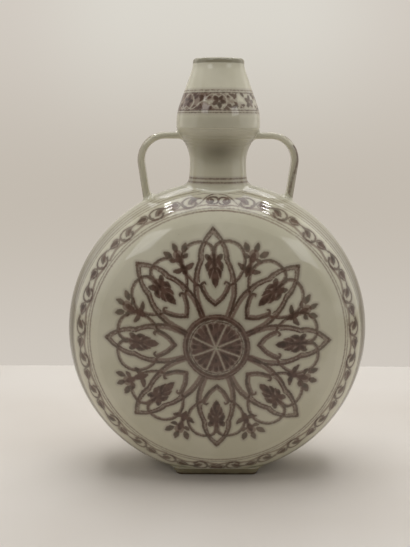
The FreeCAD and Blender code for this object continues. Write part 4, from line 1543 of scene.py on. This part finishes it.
@dataclass
class Foot:
    """The rectangular foot ring with flared sides, and the bed of slip between it and the flat base."""
    length: float = 59.94
    width: float = 48.63
    corner: float = 5.0
    wall: float = 5.0
    base_height: float = 7.0
    slip: float = 0.8
    edge: float = 0.7
    flare_slope: float = 0.4592
    flare_bend: float = 0.04160

    def outline(self, inset: float) -> tuple[Array, Array]:
        """Go round a rectangle with round corners.

        Args:
            inset: how far it lies inside the foot's outside.

        Returns:
            Centres of the corner arcs, sliding along the straight sides, and unit directions out from them.
        """
        in_x, in_y = (size / 2 - inset - self.corner for size in (self.length, self.width))
        quarter = np.linspace(0, math.pi / 2, 10)
        hubs = np.array([(in_x, in_y), (-in_x, in_y), (-in_x, -in_y), (in_x, -in_y)])
        centres, turns = [], []
        for step, (hub, ahead) in enumerate(zip(hubs, np.roll(hubs, -1, axis=0))):
            straight = spread(hub, ahead, 14)[1:-1]
            centres += [np.broadcast_to(hub, (quarter.size, 2)), straight]
            turns += [quarter + step * math.pi / 2, np.full(len(straight), (step + 1) * math.pi / 2)]
        turn = np.concatenate(turns)
        return np.concatenate(centres), circle(turn)

    def flare(self, z: float) -> float:
        """How far the sides have run out at a height: a slope that grows evenly."""
        return self.flare_slope * z + self.flare_bend * z * z

    def ring(self, outline: tuple[Array, Array], out: float, z: float) -> Array:
        """One ring of the foot, run out from the outline and lifted."""
        plan = outline[0] + (self.corner + out) * outline[1]
        return np.column_stack([plan, np.full(len(plan), z)])

    def build(self, foot_finish: Material, plain: Material) -> None:
        """Build the foot ring, with its standing edge a little rounded, and the slip bed on top of it.

        Args:
            foot_finish: the foot's glaze and bare clay.
            plain: the glaze alone.
        """
        outer, inner = self.outline(0.0), self.outline(self.wall)
        seat, edge = self.base_height - self.slip, self.edge
        turn = np.linspace(0, math.pi / 2, 6)
        rings = [self.ring(outer, self.flare(edge) - edge * (1 - math.sin(a)), edge * (1 - math.cos(a))) for a in turn]
        rings += [self.ring(outer, self.flare(z), z) for z in np.linspace(edge, seat, 12)[1:]]
        rings += [self.ring(inner, 0.0, z) for z in np.linspace(seat, edge, 6)]
        rings += [self.ring(inner, edge * (1 - math.cos(a)), edge * (1 - math.sin(a))) for a in turn[1:]]
        make_piece("foot", np.stack(rings), None, "foot_ring", foot_finish)
        bed = [self.ring(outer, self.flare(z), z) for z in (seat, self.base_height)]
        bed += [self.ring(inner, 0.0, z) for z in (self.base_height, seat)]
        make_piece("foot_slip_bed", np.stack(bed), None, "foot_luting", plain)


# ---------------------------------------------------------------------------------------------- studio

@dataclass(frozen=True)
class Lamp:
    """A soft rectangular lamp: where it hangs, the point that it faces, its width and height, and its watts."""
    name: str
    place: tuple[float, float, float]
    aim: tuple[float, float, float]
    size: tuple[float, float]
    power: float

    def hang(self) -> None:
        """Hang the lamp: its own Z points away from what it lights."""
        light = bpy.data.lights.new(self.name, "AREA")
        light.shape = "RECTANGLE"
        light.size, light.size_y = self.size[0] * MM, self.size[1] * MM
        light.energy = self.power
        away = unit(np.array(self.place, float) - np.array(self.aim, float))
        right = unit(np.cross([0.0, 0.0, 1.0], away) + [1e-6, 0, 0])
        axes = Matrix(np.column_stack([right, np.cross(away, right), away]).tolist()).to_4x4()
        set_up(self.name, light).matrix_world = Matrix.Translation(np.array(self.place) * MM) @ axes


@dataclass
class Studio:
    """A pale table before a plain backdrop, soft light from all round, two rows of small lamps, and the camera."""
    lens: float = 56.66
    sensor_width: float = 36.0
    camera_place: tuple[float, float, float] = (-9.06, -624.64, 253.38)
    pitch: float = 9.752
    roll: float = 0.207
    row_height: float = 700.0
    row_x: float = 262.0
    row_front: float = -190.0
    row_back: float = 470.0
    row_size: tuple[float, float] = (46.0, 22.0)
    near_reach: float = 150.0
    near_power: float = 0.1
    far_power: float = 0.02
    softboxes: tuple[Lamp, ...] = (
        Lamp("soft_wall_left", (-620, 60, 380), (0, 60, 200), (900, 620), 1.0),
        Lamp("soft_wall_right", (620, 60, 380), (0, 60, 200), (900, 620), 1.0),
        Lamp("left_softbox", (-760, -900, 900), (0, 0, 130), (460, 460), 1.6),
        Lamp("right_softbox", (950, -860, 800), (0, 0, 130), (460, 460), 1.5),
        Lamp("back_softbox", (0, 700, 1000), (0, 600, 0), (1200, 600), 4.2),
        Lamp("top_softbox", (0, 40, 1300), (0, 40, 0), (950, 950), 8.3))
    room_tone: str = "cfc8be"
    room_level: float = 0.1
    half_width: float = 2600.0
    table_front: float = -2200.0
    table_back: float = 266.0
    backdrop_y: float = 1200.0
    backdrop_foot: float = -900.0
    backdrop_top: float = 2600.0

    def sheet(self, name: str, corners: Points, finish: Material) -> None:
        """Set up one flat sheet of the stage.

        Args:
            name: the sheet's name.
            corners: its four corners in millimetres, counter-clockwise as seen from its front.
            finish: its material.
        """
        mesh = bpy.data.meshes.new(name)
        mesh.from_pydata((np.asarray(corners, float) * MM).tolist(), [], [(0, 1, 2, 3)])
        mesh.materials.append(finish)
        sheet = set_up(name, mesh)

    def surroundings(self) -> None:
        """Lay the pale table top and stand the backdrop behind it."""
        half, front, back, wall = self.half_width, self.table_front, self.table_back, self.backdrop_y
        low, high = self.backdrop_foot, self.backdrop_top
        self.sheet("table", [(-half, front, 0), (half, front, 0), (half, back, 0), (-half, back, 0)],
                   TableTop().material())
        self.sheet("backdrop", [(-half, wall, low), (half, wall, low), (half, wall, high), (-half, wall, high)],
                   Backdrop().material())

    def lamp_rows(self) -> list[Lamp]:
        """List the small lamps in a row along both sides, all facing down, the far ones weaker.

        Returns:
            The lamps.
        """
        along = np.linspace(self.row_front, self.row_back, 9)[:-1]
        places = [(side.value * self.row_x, y) for side in Side for y in along]
        return [Lamp(f"side_lamp_{number:02d}", (x, y, self.row_height), (x, y, 0.0), self.row_size,
                     self.near_power if abs(y) < self.near_reach else self.far_power)
                for number, (x, y) in enumerate(places)]

    def light(self) -> None:
        """Light the studio: the rows of lamps, the softboxes, and an even room that only the camera sees bright."""
        for lamp in (*self.lamp_rows(), *self.softboxes):
            lamp.hang()
        world = bpy.data.worlds.new("studio_room")
        world.use_nodes = True
        tree = world.node_tree
        level = add(tree, Kind.RAMP, add(tree, Kind.PATH), 0.0, 1.0, self.room_level, 1.0)
        tree.nodes["Background"].inputs["Color"].default_value = linear(self.room_tone)
        tree.links.new(level, tree.nodes["Background"].inputs["Strength"])
        bpy.context.scene.world = world

    def camera(self) -> None:
        """Stand the camera: level with the mouth, turned down to the flask."""
        data = bpy.data.cameras.new("camera")
        data.lens = self.lens
        data.sensor_width = self.sensor_width
        data.clip_end = 50.0
        camera = set_up("camera", data)
        tipped = Matrix.Rotation(math.radians(90 - self.pitch), 4, "X")
        rolled = tipped @ Matrix.Rotation(math.radians(self.roll), 4, "Z")
        camera.matrix_world = Matrix.Translation(np.array(self.camera_place) * MM) @ rolled
        bpy.context.scene.camera = camera

    def build(self) -> None:
        """Set up the camera, the table with its backdrop, and the light."""
        bpy.context.scene.view_settings.view_transform = "Standard"
        self.camera()
        self.surroundings()
        self.light()


def main() -> None:
    """Build the flask's sub-assemblies in order, then the studio."""
    logging.basicConfig(level=logging.INFO, format="%(name)s: %(message)s")
    painted = Glaze(name="painted_celadon_glaze", painted=True).material()
    plain = Glaze().material()
    foot_finish = FootBiscuit().material()
    body = MoonBody()
    body.build(painted, plain)
    neck = Neck(body)
    neck.build(painted, plain)
    MouthBulb().build(painted)
    for side in Side:
        StrapHandle(side, body, neck).build(painted, plain)
    Foot().build(foot_finish, plain)
    Studio().build()


if __name__ == "__main__":
    main()
